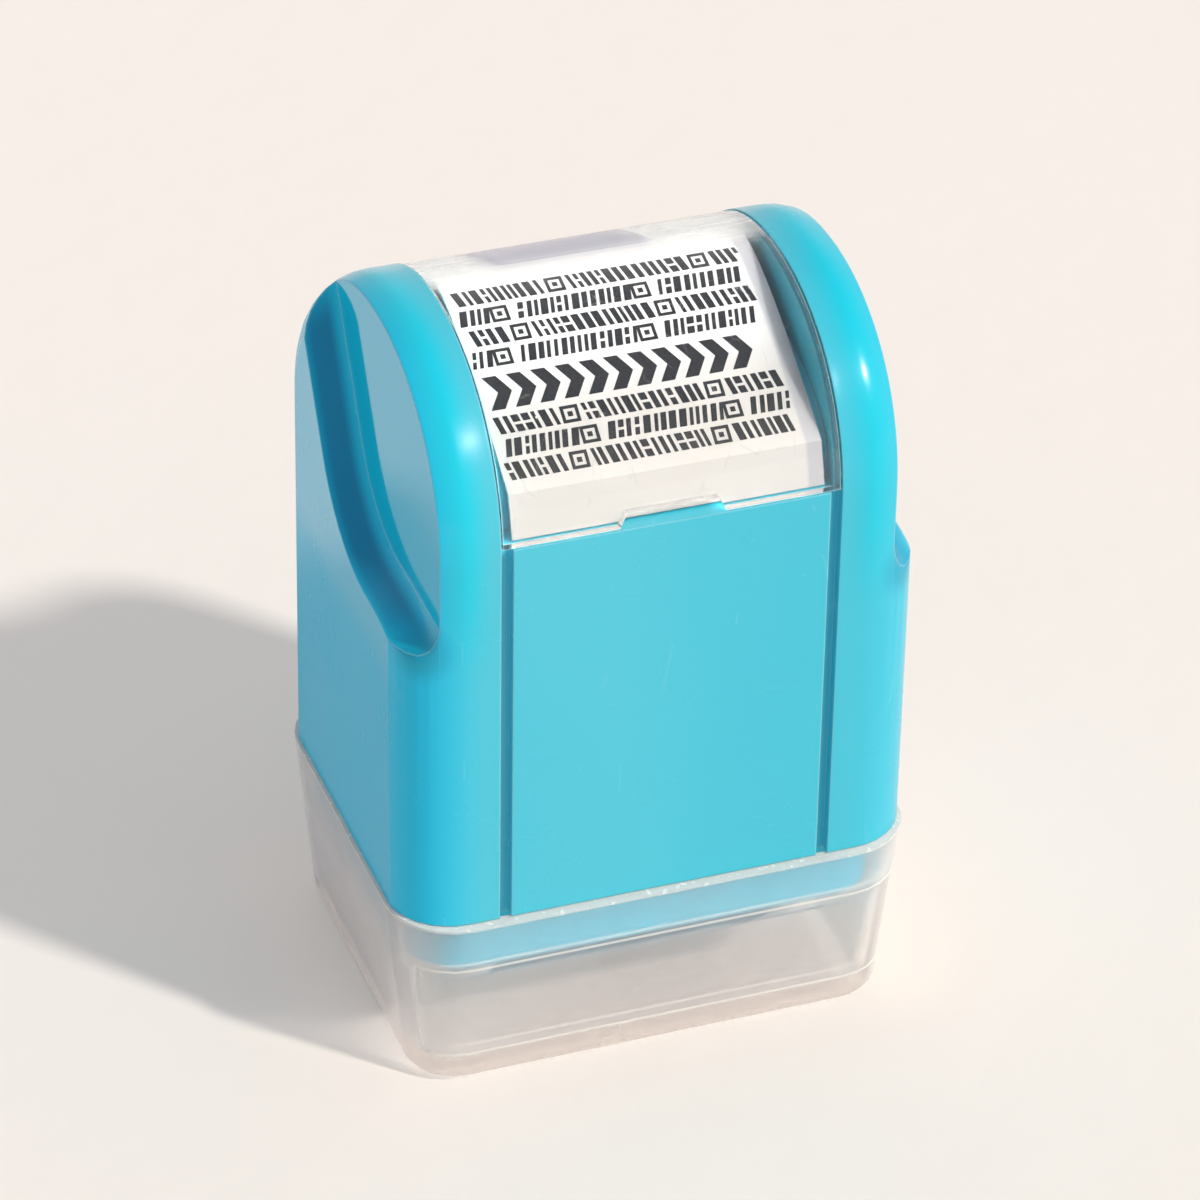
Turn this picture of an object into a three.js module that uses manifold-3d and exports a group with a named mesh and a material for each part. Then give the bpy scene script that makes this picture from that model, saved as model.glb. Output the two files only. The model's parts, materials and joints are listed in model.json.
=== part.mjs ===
// A privacy roller stamp, standing in its cap. Millimetres, +Z up, X along the rollers, front towards -Y.
// The origin is the middle of the cap's base.

import * as THREE from "three";
import { mergeVertices } from "three/addons/utils/BufferGeometryUtils.js";
import Module from "manifold-3d";

// Housing shell: its heights are measured from its own bottom edge
const HOUSING_WIDTH = 44;
const HOUSING_DEPTH = 33.8;
const HOUSING_WALL = 1.6;
const SILL_HEIGHT = 34.85;
const SHOULDER_DROP = 1.45;
const SHOULDER_LEAN = 0.35;
const ARCH_RISE_SHARE = 0.459;
const ARCH_POWER = 2.14;
const RIM_RADIUS = 5.44;
const RIM_SETBACK_SHARE = 0.8125;

// Scooped finger recess in each side
const SCOOP_DEPTH = 3;
const SCOOP_FLOOR_SHARE = 0.812;
const SCOOP_CORNER_SETBACK = 0.4;
const SCOOP_LEAN = THREE.MathUtils.degToRad(60);
const SCOOP_FILLET = 11;
const SCOOP_BANK = 2.2;
const SCOOP_BANK_SHARES = { front: 1, corner: 0.66, top: 0.5 };
const SCOOP_FOOT_SHARES = { offset: 0.6, rise: 0.2 };
const SCOOP_BROW_SHARES = { offset: 0.66, rise: 0.95 };
const SCOOP_DIP_SHARE = 3.4;
const SCOOP_DIP_LENGTH = 12;
const SCOOP_DIP_POWER = 4;
const SIDE_CAVITY_COVER = 3.4;

// Window between the arms, and the grooves beside the centre panels
const WINDOW_WIDTH_SHARE = 0.643;
const LEDGE_THICKNESS = 1.4;
const SHELF_WIDTH = 0.45;
const GROOVE_WIDTH = 0.98;
const GROOVE_DEPTH = 0.9;

// Tray under the label, with the refill hole
const TRAY_LABEL_SPACE = 1.85;
const TRAY_SHOULDER_SHARE = 0.1975;
const TRAY_RISE_SHARE = 0.408;
const TRAY_THICKNESS = 1.5;
const REFILL_HOLE_DIAMETER = 4;
const REFILL_COLLAR_WIDTH = 1.1;
const REFILL_COLLAR_HEIGHT = 0.5;

// Clear window cover
const COVER_INSET = 0.1;
const COVER_THICKNESS = 1;
const COVER_SIDE_GAP = 0.15;
const NOTCH_WIDTH_SHARE = 0.311;
const NOTCH_SLANT = 0.55;
const NOTCH_HEIGHT = 1.15;

// Folded label card
const LABEL_SIDE_GAP = 1.2;
const LABEL_THICKNESS = 0.3;
const LABEL_FOLD_SHARE = 0.112;
const LABEL_FOLD_SLACK = 0.1;
const LABEL_TOUCH_SHARE = 0.56;
const LABEL_BEND_SHARE = 0.73;
const LABEL_EDGE_RISE = 0.2;

// Cap
const CAP_SIDE_BRIM = 0.3;
const CAP_FRONT_BRIM = 0.8;
const CAP_DRAFT_SHARE = 0.1;
const CAP_WALL = 1.2;
const CAP_FLOOR = 1.4;
const CAP_CORNER_RADIUS = 5.8;
const CAP_FOOT_RADIUS = 1.6;
const CAP_FLOOR_FILLET = 1;
const CAP_SEAT_STEP = 0.5;

// Roller frame: its heights are measured from the housing's bottom edge
const NECK_GAP = 0.25;
const NECK_CORNER_RADIUS = 4.5;
const NECK_DROP = 6;
const NECK_WALL = 1.3;
const NECK_CHAMFER = 0.5;
const SPIGOT_RISE = 9;
const DECK_THICKNESS = 1;
const CHEEK_SIDE_GAP = 0.6;
const CHEEK_THICKNESS = 1.6;
const CHEEK_TOP_WIDTH_SHARE = 0.503;
const CHEEK_SHOULDER_RISE = 8;
const CHEEK_CORNER_CUT = 2;
const GUSSET_THICKNESS = 1.2;
const GUSSET_SPACING_SHARE = 0.6;
const HOOK_WIDTH = 8;
const HOOK_HEIGHT = 2;
const HOOK_REACH = 0.6;
const HOOK_CENTRE_HEIGHT = 5;

// Frame bridge
const BRIDGE_TOP_GAP = 0.95;
const BRIDGE_INSET = 0.5;
const BRIDGE_THICKNESS = 1.4;
const BRIDGE_LIP_THICKNESS = 0.9;
const BRIDGE_LIP_HEIGHT = 2.8;
const FUNNEL_WALL = 1.3;
const FUNNEL_FLARE = 0.7;

// Print drum
const DRUM_SIDE_GAP = 0.45;
const DRUM_FLOOR_GAP = 0.6;
const DRUM_END_GAP = 1;
const SLEEVE_THICKNESS = 1.9;
const DRUM_TUBE_WALL = 1.4;
const RING_WIDTH = 1.9;
const RING_GAP = 0.3;
const RING_CHAMFER = 0.35;
const HUB_THICKNESS = 1.8;
const HUB_BOSS_WALL = 1.75;
const HUB_BOSS_LENGTH = 5;
const DRUM_AXLE_RADIUS = 1.75;
const DRUM_AXLE_END = 1.5;
const AXLE_CHAMFER = 0.3;
const BUSH_WALL = 1.4;
const BUSH_FLANGE_WIDTH = 1.1;
const BUSH_FLANGE_THICKNESS = 0.7;

// Ink roller
const INK_GAP = 0.1;
const SPONGE_TOP_GAP = 2.3;
const SPONGE_OVERHANG = 0.4;
const INK_CORE_WALL_SHARE = 0.188;
const INK_CORE_END_GAP = 1.2;
const INK_FLANGE_SHARE = 0.615;
const INK_FLANGE_THICKNESS = 1.2;
const INK_AXLE_RADIUS = 1.5;
const INK_AXLE_END = 0.1;

// Clearances
const REST_GAP = 0.1;
const FIT_GAP = 0.1;
const SEAT_GAP = 0.3;
const SLIDE_GAP = 0.2;
const OVERRUN = 1;

// Numbers of steps in curves
const ARCH_STEPS = 36;
const RIM_STEPS = 7;
const CORNER_STEPS = 6;
const FILLET_STEPS = 8;
const DIP_STEPS = 10;
const BANK_STEPS = 12;
const FOOT_STEPS = 4;
const DRUM_SIDES = 64;
const AXLE_SIDES = 24;
const LABEL_STEPS = 12;

// Worked out from the sizes above: the housing and its window
const SHOULDER_DEPTH = HOUSING_DEPTH - 2 * SHOULDER_LEAN;
const SHOULDER_HEIGHT = SILL_HEIGHT - SHOULDER_DROP;
const ARCH_RISE = SHOULDER_DEPTH * ARCH_RISE_SHARE;
const HOUSING_HEIGHT = SHOULDER_HEIGHT + ARCH_RISE;
const RIM_SETBACK = RIM_RADIUS * RIM_SETBACK_SHARE;
const RIM_REACH = Math.sqrt(RIM_RADIUS ** 2 - (RIM_RADIUS - RIM_SETBACK) ** 2);
const SCOOP_FLOOR_HEIGHT = SILL_HEIGHT * SCOOP_FLOOR_SHARE;
const SIDE_CAVITY_HEIGHT = SCOOP_FLOOR_HEIGHT - SCOOP_BANK - SIDE_CAVITY_COVER;
const RECESS_HALF_WIDTH = HOUSING_WIDTH / 2 - SCOOP_DEPTH;
const UPPER_CAVITY_HALF_WIDTH = RECESS_HALF_WIDTH - HOUSING_WALL;
const WINDOW_WIDTH = HOUSING_WIDTH * WINDOW_WIDTH_SHARE;
const TRAY_DEPTH = SHOULDER_DEPTH - 2 * (COVER_INSET + COVER_THICKNESS + TRAY_LABEL_SPACE);
const TRAY_SHOULDER_HEIGHT = SHOULDER_HEIGHT + ARCH_RISE * TRAY_SHOULDER_SHARE;
const TRAY_RISE = ARCH_RISE * TRAY_RISE_SHARE;
const TRAY_TOP = TRAY_SHOULDER_HEIGHT + TRAY_RISE;
const NOTCH_WIDTH = WINDOW_WIDTH * NOTCH_WIDTH_SHARE;
const LABEL_WIDTH = WINDOW_WIDTH - 2 * LABEL_SIDE_GAP;
const LABEL_INSET = COVER_INSET + COVER_THICKNESS + SEAT_GAP;

// The roller frame and the rollers
const NECK_WIDTH = HOUSING_WIDTH - 2 * (HOUSING_WALL + NECK_GAP);
const NECK_DEPTH = HOUSING_DEPTH - 2 * (HOUSING_WALL + NECK_GAP);
const CHEEK_GAP = 2 * (UPPER_CAVITY_HALF_WIDTH - CHEEK_SIDE_GAP - CHEEK_THICKNESS);
const CHEEK_HEIGHT = SILL_HEIGHT - LEDGE_THICKNESS - BRIDGE_TOP_GAP - BRIDGE_THICKNESS - FIT_GAP;
const CHEEK_TOP_WIDTH = HOUSING_DEPTH * CHEEK_TOP_WIDTH_SHARE;
const BRIDGE_DEPTH = CHEEK_TOP_WIDTH - 2 * (CHEEK_CORNER_CUT + BRIDGE_INSET);
const BUSH_RADIUS = DRUM_AXLE_RADIUS + FIT_GAP + BUSH_WALL;
const DRUM_AXIS_DROP = NECK_DROP - DECK_THICKNESS - 1.5 * FIT_GAP - BUSH_RADIUS;
const SLEEVE_RADIUS = NECK_DEPTH / 2 - NECK_WALL - DRUM_SIDE_GAP;
const DRUM_LENGTH = CHEEK_GAP - 2 * DRUM_END_GAP;
const SLEEVE_LENGTH = DRUM_LENGTH - 2 * (RING_WIDTH + RING_GAP);
const DRUM_TUBE_RADIUS = SLEEVE_RADIUS - SLEEVE_THICKNESS - FIT_GAP;
const DRUM_BORE_RADIUS = DRUM_TUBE_RADIUS - DRUM_TUBE_WALL;
const HUB_BOSS_RADIUS = DRUM_AXLE_RADIUS + FIT_GAP + HUB_BOSS_WALL;
const DRUM_AXLE_LENGTH = CHEEK_GAP + 2 * (CHEEK_THICKNESS + DRUM_AXLE_END);
const SPONGE_ROOM = CHEEK_HEIGHT + FIT_GAP - SPONGE_TOP_GAP - (SLEEVE_RADIUS - DRUM_AXIS_DROP) - INK_GAP;
const SPONGE_RADIUS = SPONGE_ROOM / 2;
const SPONGE_LENGTH = SLEEVE_LENGTH + 2 * SPONGE_OVERHANG;
const INK_AXIS_HEIGHT = SLEEVE_RADIUS + INK_GAP + SPONGE_RADIUS - DRUM_AXIS_DROP;
const INK_CORE_RADIUS = INK_AXLE_RADIUS + FIT_GAP + SPONGE_RADIUS * INK_CORE_WALL_SHARE;
const INK_CORE_LENGTH = CHEEK_GAP - 2 * INK_CORE_END_GAP;
const INK_FLANGE_RADIUS = INK_CORE_RADIUS + (SPONGE_RADIUS - INK_CORE_RADIUS) * INK_FLANGE_SHARE;
const INK_AXLE_LENGTH = CHEEK_GAP + 2 * (CHEEK_THICKNESS + INK_AXLE_END);

// The cap, which is as deep as the drum needs
const CAP_HEIGHT = CAP_FLOOR + DRUM_FLOOR_GAP + SLEEVE_RADIUS + DRUM_AXIS_DROP - REST_GAP;
const CAP_WIDTH = HOUSING_WIDTH + 2 * CAP_SIDE_BRIM;
const CAP_DEPTH = HOUSING_DEPTH + 2 * CAP_FRONT_BRIM;
const CAP_SEAT_DEPTH = NECK_DROP + SLIDE_GAP;
const HOUSING_BASE = CAP_HEIGHT + REST_GAP;

const wasm = await Module();
wasm.setup();

// Turns a closed geometry into a solid that can be cut and joined.
function solid(geometry) {
  const bare = geometry.index ? geometry.toNonIndexed() : geometry.clone();
  bare.deleteAttribute("normal");
  bare.deleteAttribute("uv");
  const merged = mergeVertices(bare);
  return new wasm.Manifold(
    new wasm.Mesh({
      numProp: 3,
      vertProperties: merged.attributes.position.array,
      triVerts: new Uint32Array(merged.index.array),
    }),
  );
}

// Turns a cut or joined solid back into a geometry.
function geometryOf(body) {
  const mesh = body.getMesh();
  const geometry = new THREE.BufferGeometry();
  geometry.setAttribute("position", new THREE.BufferAttribute(mesh.vertProperties, 3));
  geometry.setIndex(new THREE.BufferAttribute(mesh.triVerts, 1));
  return geometry.toNonIndexed();
}

// Faces of a flat ring, wound the way the ring runs.
function capFaces(ring) {
  const normal = new THREE.Vector3();
  const edge = new THREE.Vector3();
  for (let i = 1; i + 1 < ring.length; i += 1) {
    edge.subVectors(ring[i], ring[0]);
    normal.add(edge.cross(new THREE.Vector3().subVectors(ring[i + 1], ring[0])));
  }
  const alongX = Math.abs(normal.x) > Math.abs(normal.z);
  const flat = ring.map((p) => (alongX ? new THREE.Vector2(p.y, p.z) : new THREE.Vector2(p.x, p.y)));
  const forward = THREE.ShapeUtils.area(flat) > 0;
  return THREE.ShapeUtils.triangulateShape(flat, []).map(([a, b, c]) => {
    const area = THREE.ShapeUtils.area([flat[a], flat[b], flat[c]]);
    return area > 0 === forward ? [a, b, c] : [a, c, b];
  });
}

// A closed skin over rings of as many points each, with flat ends.
function loft(rings) {
  const count = rings[0].length;
  const faces = [];
  for (let r = 0; r + 1 < rings.length; r += 1) {
    for (let i = 0; i < count; i += 1) {
      const a = r * count + i;
      const b = r * count + ((i + 1) % count);
      faces.push([a, b, b + count], [a, b + count, a + count]);
    }
  }
  const last = (rings.length - 1) * count;
  capFaces(rings[0]).forEach(([a, b, c]) => faces.push([a, c, b]));
  capFaces(rings[rings.length - 1]).forEach(([a, b, c]) => faces.push([a + last, b + last, c + last]));
  const points = rings.flat();
  const volume = faces.reduce(
    (sum, [a, b, c]) => sum + points[a].dot(new THREE.Vector3().crossVectors(points[b], points[c])),
    0,
  );
  const outward = volume > 0 ? faces : faces.map(([a, b, c]) => [a, c, b]);
  const geometry = new THREE.BufferGeometry().setFromPoints(points);
  geometry.setIndex(outward.flat());
  return geometry;
}

// A box between two corners.
function box(low, high) {
  const size = new THREE.Vector3(...high).sub(new THREE.Vector3(...low));
  const geometry = new THREE.BoxGeometry(size.x, size.y, size.z);
  const middle = new THREE.Vector3(...low).addScaledVector(size, 0.5);
  return solid(geometry.translate(middle.x, middle.y, middle.z));
}

// A flat shape in Y and Z, made thick along X.
function plateAlongX(shape, fromX, toX) {
  const geometry = new THREE.ExtrudeGeometry(shape, { depth: toX - fromX, bevelEnabled: false });
  const turn = new THREE.Matrix4().makeBasis(
    new THREE.Vector3(0, 1, 0),
    new THREE.Vector3(0, 0, 1),
    new THREE.Vector3(1, 0, 0),
  );
  return solid(geometry.applyMatrix4(turn).translate(fromX, 0, 0));
}

// A turned piece about X from a closed profile of [radius, x] points.
function turned(profile, sides) {
  const closed = [...profile, profile[0]].map(([radius, x]) => new THREE.Vector2(radius, x));
  const area = THREE.ShapeUtils.area(closed);
  const points = area > 0 ? closed : closed.reverse();
  return new THREE.LatheGeometry(points, sides).rotateZ(-Math.PI / 2);
}

// An upright round pin or hole.
function uprightPin(radius, fromZ, toZ, topRadius = radius) {
  const geometry = new THREE.CylinderGeometry(topRadius, radius, toZ - fromZ, AXLE_SIDES);
  return solid(geometry.rotateX(Math.PI / 2).translate(0, 0, (fromZ + toZ) / 2));
}

// A rounded rectangle at one height.
function roundedRing(halfWidth, halfDepth, radius, z) {
  const ring = [];
  for (let corner = 0; corner < 4; corner += 1) {
    const signX = corner === 0 || corner === 3 ? 1 : -1;
    const signY = corner < 2 ? 1 : -1;
    for (let i = 0; i <= CORNER_STEPS; i += 1) {
      const angle = ((corner + i / CORNER_STEPS) * Math.PI) / 2;
      ring.push(
        new THREE.Vector3(
          signX * (halfWidth - radius) + radius * Math.cos(angle),
          signY * (halfDepth - radius) + radius * Math.sin(angle),
          z,
        ),
      );
    }
  }
  return ring;
}

// A point of the arched top, from the front shoulder (0) over to the back one (1), set in from the surface.
function archPoint(share, inset) {
  const halfDepth = SHOULDER_DEPTH / 2;
  const angle = Math.PI * share;
  const across = Math.abs(Math.cos(angle)) ** (2 / ARCH_POWER);
  const up = Math.abs(Math.sin(angle)) ** (2 / ARCH_POWER);
  const side = share < 0.5 ? -1 : 1;
  const normal = new THREE.Vector2(
    (side * across ** (ARCH_POWER - 1)) / halfDepth,
    up ** (ARCH_POWER - 1) / ARCH_RISE,
  ).normalize();
  const point = new THREE.Vector2(side * across * halfDepth, SHOULDER_HEIGHT + up * ARCH_RISE);
  return point.addScaledVector(normal, -inset);
}

// The housing's side outline in Y and Z, set in from the surface.
function housingOutline(inset, bottom) {
  const halfBase = HOUSING_DEPTH / 2 - inset;
  const points = [new THREE.Vector2(-halfBase, bottom)];
  for (let i = 0; i <= ARCH_STEPS; i += 1) {
    points.push(archPoint(i / ARCH_STEPS, inset));
  }
  points.push(new THREE.Vector2(halfBase, bottom));
  return points;
}

// The outline made thick along X, with no rounding.
function archSlab(inset, halfWidth, bottom) {
  return plateAlongX(new THREE.Shape(housingOutline(inset, bottom)), -halfWidth, halfWidth);
}

// The housing's form: the outline along X, drawn in round the rims beside each side face.
function housingForm(inset, bottom) {
  const radius = RIM_RADIUS - inset;
  const reach = RIM_REACH - inset;
  const start = HOUSING_WIDTH / 2 - RIM_REACH;
  const end = Math.asin(reach / radius);
  const stations = [];
  for (let i = 0; i <= RIM_STEPS; i += 1) {
    const angle = (end * i) / RIM_STEPS;
    stations.push([start + radius * Math.sin(angle), inset + radius * (1 - Math.cos(angle))]);
  }
  const ringAt = (x, in_) => housingOutline(in_, bottom).map((p) => new THREE.Vector3(x, p.x, p.y));
  const left = stations.map(([x, in_]) => ringAt(-x, in_)).reverse();
  const right = stations.map(([x, in_]) => ringAt(x, in_));
  return solid(loft([...left, ...right]));
}

// The outline of the finger recess in Y and Z, widened by the offset: less up the slope, with a dip at the front.
function scoopOutline(offset) {
  const far = HOUSING_DEPTH;
  const shares = SCOOP_BANK_SHARES;
  const tangent = SCOOP_FILLET * Math.tan(SCOOP_LEAN / 2);
  const centreY = SCOOP_CORNER_SETBACK - tangent;
  const centreZ = SCOOP_FLOOR_HEIGHT + SCOOP_FILLET;
  const points = [];
  for (let i = DIP_STEPS; i > 0; i -= 1) {
    const share = i / DIP_STEPS;
    const dip = SCOOP_DIP_SHARE * share ** SCOOP_DIP_POWER;
    const height = SCOOP_FLOOR_HEIGHT - offset * (1 + dip);
    points.push(new THREE.Vector2(centreY - SCOOP_DIP_LENGTH * share, height));
  }
  points.unshift(new THREE.Vector2(-far, points[0].y));
  for (let i = 0; i <= FILLET_STEPS; i += 1) {
    const share = THREE.MathUtils.lerp(shares.front, shares.corner, i / FILLET_STEPS);
    const angle = -Math.PI / 2 + (SCOOP_LEAN * i) / FILLET_STEPS;
    const radius = SCOOP_FILLET + offset * share;
    points.push(new THREE.Vector2(centreY + radius * Math.cos(angle), centreZ + radius * Math.sin(angle)));
  }
  const outward = new THREE.Vector2(Math.sin(SCOOP_LEAN), -Math.cos(SCOOP_LEAN));
  const along = new THREE.Vector2(Math.cos(SCOOP_LEAN), Math.sin(SCOOP_LEAN));
  const end = new THREE.Vector2(centreY, centreZ).addScaledVector(outward, SCOOP_FILLET);
  end.addScaledVector(along, far).addScaledVector(outward, offset * shares.top);
  points.push(end);
  points.push(new THREE.Vector2(-far, end.y));
  return points;
}

// The cut of one finger recess: a flat floor and a bank that steepens, then rounds over into the side face.
function scoopCut(side) {
  const bank = new THREE.CubicBezierCurve(
    new THREE.Vector2(0, 0),
    new THREE.Vector2(SCOOP_FOOT_SHARES.offset, SCOOP_FOOT_SHARES.rise),
    new THREE.Vector2(SCOOP_BROW_SHARES.offset, SCOOP_BROW_SHARES.rise),
    new THREE.Vector2(1, 1),
  );
  const line = bank.getPoints(BANK_STEPS).map((p) => [RECESS_HALF_WIDTH + SCOOP_DEPTH * p.y, SCOOP_BANK * p.x]);
  line.push([HOUSING_WIDTH / 2 + OVERRUN, SCOOP_BANK]);
  const rings = line.map(([x, offset]) => scoopOutline(offset).map((p) => new THREE.Vector3(side * x, p.x, p.y)));
  return solid(loft(rings));
}

// The tray's outline in Y and Z, set in from its upper surface.
function traySlab(inset, halfWidth, bottom) {
  const halfDepth = TRAY_DEPTH / 2 - inset;
  const shape = new THREE.Shape();
  shape.moveTo(halfDepth, bottom);
  shape.lineTo(halfDepth, TRAY_SHOULDER_HEIGHT);
  shape.absellipse(0, TRAY_SHOULDER_HEIGHT, halfDepth, TRAY_RISE - inset, 0, Math.PI, false, 0);
  shape.lineTo(-halfDepth, bottom);
  return plateAlongX(shape, -halfWidth, halfWidth);
}

function housingSolid() {
  const everywhere = HOUSING_WIDTH / 2 + OVERRUN;
  const cutBox = (halfWidth, bottom, top) =>
    box([-halfWidth, -HOUSING_DEPTH, bottom], [halfWidth, HOUSING_DEPTH, top]);
  let shell = housingForm(0, 0);

  const lower = housingForm(HOUSING_WALL, -OVERRUN).intersect(cutBox(everywhere, -OVERRUN, SIDE_CAVITY_HEIGHT));
  const middle = archSlab(HOUSING_WALL, UPPER_CAVITY_HALF_WIDTH, -OVERRUN).intersect(
    cutBox(everywhere, -OVERRUN, SILL_HEIGHT - LEDGE_THICKNESS),
  );
  const upper = traySlab(TRAY_THICKNESS, UPPER_CAVITY_HALF_WIDTH, SHOULDER_HEIGHT - OVERRUN);
  shell = shell.subtract(lower.add(middle).add(upper));

  const outside = archSlab(-OVERRUN, WINDOW_WIDTH / 2, -OVERRUN).intersect(
    cutBox(everywhere, SILL_HEIGHT, HOUSING_HEIGHT + OVERRUN),
  );
  const coverSeat = archSlab(COVER_INSET + COVER_THICKNESS + FIT_GAP, everywhere, -OVERRUN);
  const throat = outside.intersect(cutBox(WINDOW_WIDTH / 2 - SHELF_WIDTH, 0, HOUSING_HEIGHT + OVERRUN));
  shell = shell.subtract(outside.subtract(coverSeat));
  shell = shell.subtract(throat.subtract(traySlab(0, everywhere, 0)));

  const skin = archSlab(-OVERRUN, everywhere, -OVERRUN).subtract(archSlab(GROOVE_DEPTH, everywhere, -OVERRUN));
  for (const side of [-1, 1]) {
    const edges = [(side * WINDOW_WIDTH) / 2, side * (WINDOW_WIDTH / 2 - GROOVE_WIDTH)].sort((a, b) => a - b);
    const groove = box([edges[0], -HOUSING_DEPTH, -OVERRUN], [edges[1], HOUSING_DEPTH, SILL_HEIGHT + FIT_GAP]);
    shell = shell.subtract(skin.intersect(groove));
    shell = shell.subtract(scoopCut(side));
  }

  const collarRadius = REFILL_HOLE_DIAMETER / 2 + REFILL_COLLAR_WIDTH;
  shell = shell.add(uprightPin(collarRadius, TRAY_TOP - TRAY_THICKNESS / 2, TRAY_TOP + REFILL_COLLAR_HEIGHT));
  shell = shell.subtract(uprightPin(REFILL_HOLE_DIAMETER / 2, TRAY_SHOULDER_HEIGHT, HOUSING_HEIGHT));

  const pocketHalf = HOOK_WIDTH / 2 + SLIDE_GAP;
  const pocketReach = NECK_DEPTH / 2 + HOOK_REACH + SLIDE_GAP;
  const pocketLow = HOOK_CENTRE_HEIGHT - HOOK_HEIGHT / 2 - SLIDE_GAP;
  const pocketHigh = HOOK_CENTRE_HEIGHT + HOOK_HEIGHT / 2 + SLIDE_GAP;
  return shell.subtract(box([-pocketHalf, -pocketReach, pocketLow], [pocketHalf, pocketReach, pocketHigh]));
}

function coverSolid() {
  const halfWidth = WINDOW_WIDTH / 2 - COVER_SIDE_GAP;
  const bottom = SILL_HEIGHT + FIT_GAP;
  let cover = archSlab(COVER_INSET, halfWidth, 0).subtract(
    archSlab(COVER_INSET + COVER_THICKNESS, halfWidth + OVERRUN, -OVERRUN),
  );
  cover = cover.intersect(
    box([-halfWidth - OVERRUN, -HOUSING_DEPTH, bottom], [halfWidth + OVERRUN, HOUSING_DEPTH, HOUSING_HEIGHT]),
  );
  const outline = [
    [-NOTCH_WIDTH / 2, bottom - OVERRUN],
    [NOTCH_WIDTH / 2, bottom - OVERRUN],
    [NOTCH_WIDTH / 2, bottom],
    [NOTCH_WIDTH / 2 - NOTCH_SLANT, bottom + NOTCH_HEIGHT],
    [-NOTCH_WIDTH / 2 + NOTCH_SLANT, bottom + NOTCH_HEIGHT],
    [-NOTCH_WIDTH / 2, bottom],
  ].map(([x, z]) => new THREE.Vector2(x, z));
  const notch = new THREE.ExtrudeGeometry(new THREE.Shape(outline), { depth: HOUSING_DEPTH, bevelEnabled: false });
  return cover.subtract(solid(notch.rotateX(Math.PI / 2)));
}

// The card's upper side in Y and Z: a front flap up to the fold, a slack span, then along inside the cover.
function labelLine() {
  const fold = archPoint(LABEL_FOLD_SHARE, LABEL_INSET + LABEL_FOLD_SLACK);
  const touch = archPoint(LABEL_TOUCH_SHARE, LABEL_INSET);
  const crown = archPoint(0.5, LABEL_INSET);
  const bend = new THREE.Vector2(THREE.MathUtils.lerp(fold.x, touch.x, LABEL_BEND_SHARE), crown.y);
  const edge = SILL_HEIGHT + LABEL_EDGE_RISE;
  const edgeDepth = SHOULDER_DEPTH / 2 - LABEL_INSET;
  const points = [new THREE.Vector2(-edgeDepth, edge)];
  points.push(...new THREE.QuadraticBezierCurve(fold, bend, touch).getPoints(LABEL_STEPS));
  for (let i = 1; i <= LABEL_STEPS; i += 1) {
    const share = THREE.MathUtils.lerp(LABEL_TOUCH_SHARE, 1, i / LABEL_STEPS);
    const point = archPoint(share, LABEL_INSET);
    if (point.y > edge) {
      points.push(point);
    }
  }
  points.push(new THREE.Vector2(edgeDepth, edge));
  return points;
}

// A strip of one thickness below a line in Y and Z.
function stripShape(line, thickness) {
  const under = line.map((point, i) => {
    const before = line[Math.max(i - 1, 0)];
    const after = line[Math.min(i + 1, line.length - 1)];
    const toPoint = (i === 0 ? after.clone().sub(point) : point.clone().sub(before)).normalize();
    const fromPoint = (i === line.length - 1 ? toPoint.clone() : after.clone().sub(point)).normalize();
    const mean = toPoint.clone().add(fromPoint).normalize();
    const reach = thickness / mean.dot(toPoint);
    return new THREE.Vector2(point.x + mean.y * reach, point.y - mean.x * reach);
  });
  return new THREE.Shape([...line, ...under.reverse()]);
}

function labelSolid() {
  return plateAlongX(stripShape(labelLine(), LABEL_THICKNESS), -LABEL_WIDTH / 2, LABEL_WIDTH / 2);
}

function capSolid() {
  const ringAt = (z, inset) => {
    const drawn = inset + CAP_DRAFT_SHARE * (CAP_HEIGHT - z);
    return roundedRing(CAP_WIDTH / 2 - drawn, CAP_DEPTH / 2 - drawn, CAP_CORNER_RADIUS - drawn, z);
  };
  const rounding = (radius, bottom, inset) => {
    const rings = [];
    for (let i = 0; i < FOOT_STEPS; i += 1) {
      const angle = (i / FOOT_STEPS) * (Math.PI / 2);
      const drawn = inset + radius * (1 - Math.sin(angle));
      rings.push(ringAt(bottom + radius * (1 - Math.cos(angle)), drawn));
    }
    rings.push(ringAt(bottom + radius, inset));
    return rings;
  };
  const outer = loft([...rounding(CAP_FOOT_RADIUS, 0, 0), ringAt(CAP_HEIGHT, 0)]);
  const seat = CAP_HEIGHT - CAP_SEAT_DEPTH;
  const inner = loft([
    ...rounding(CAP_FLOOR_FILLET, CAP_FLOOR, CAP_WALL + CAP_SEAT_STEP),
    ringAt(seat, CAP_WALL + CAP_SEAT_STEP),
    ringAt(seat + CAP_SEAT_STEP, CAP_WALL),
    ringAt(CAP_HEIGHT + OVERRUN, CAP_WALL),
  ]);
  return solid(outer).subtract(solid(inner));
}

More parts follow.
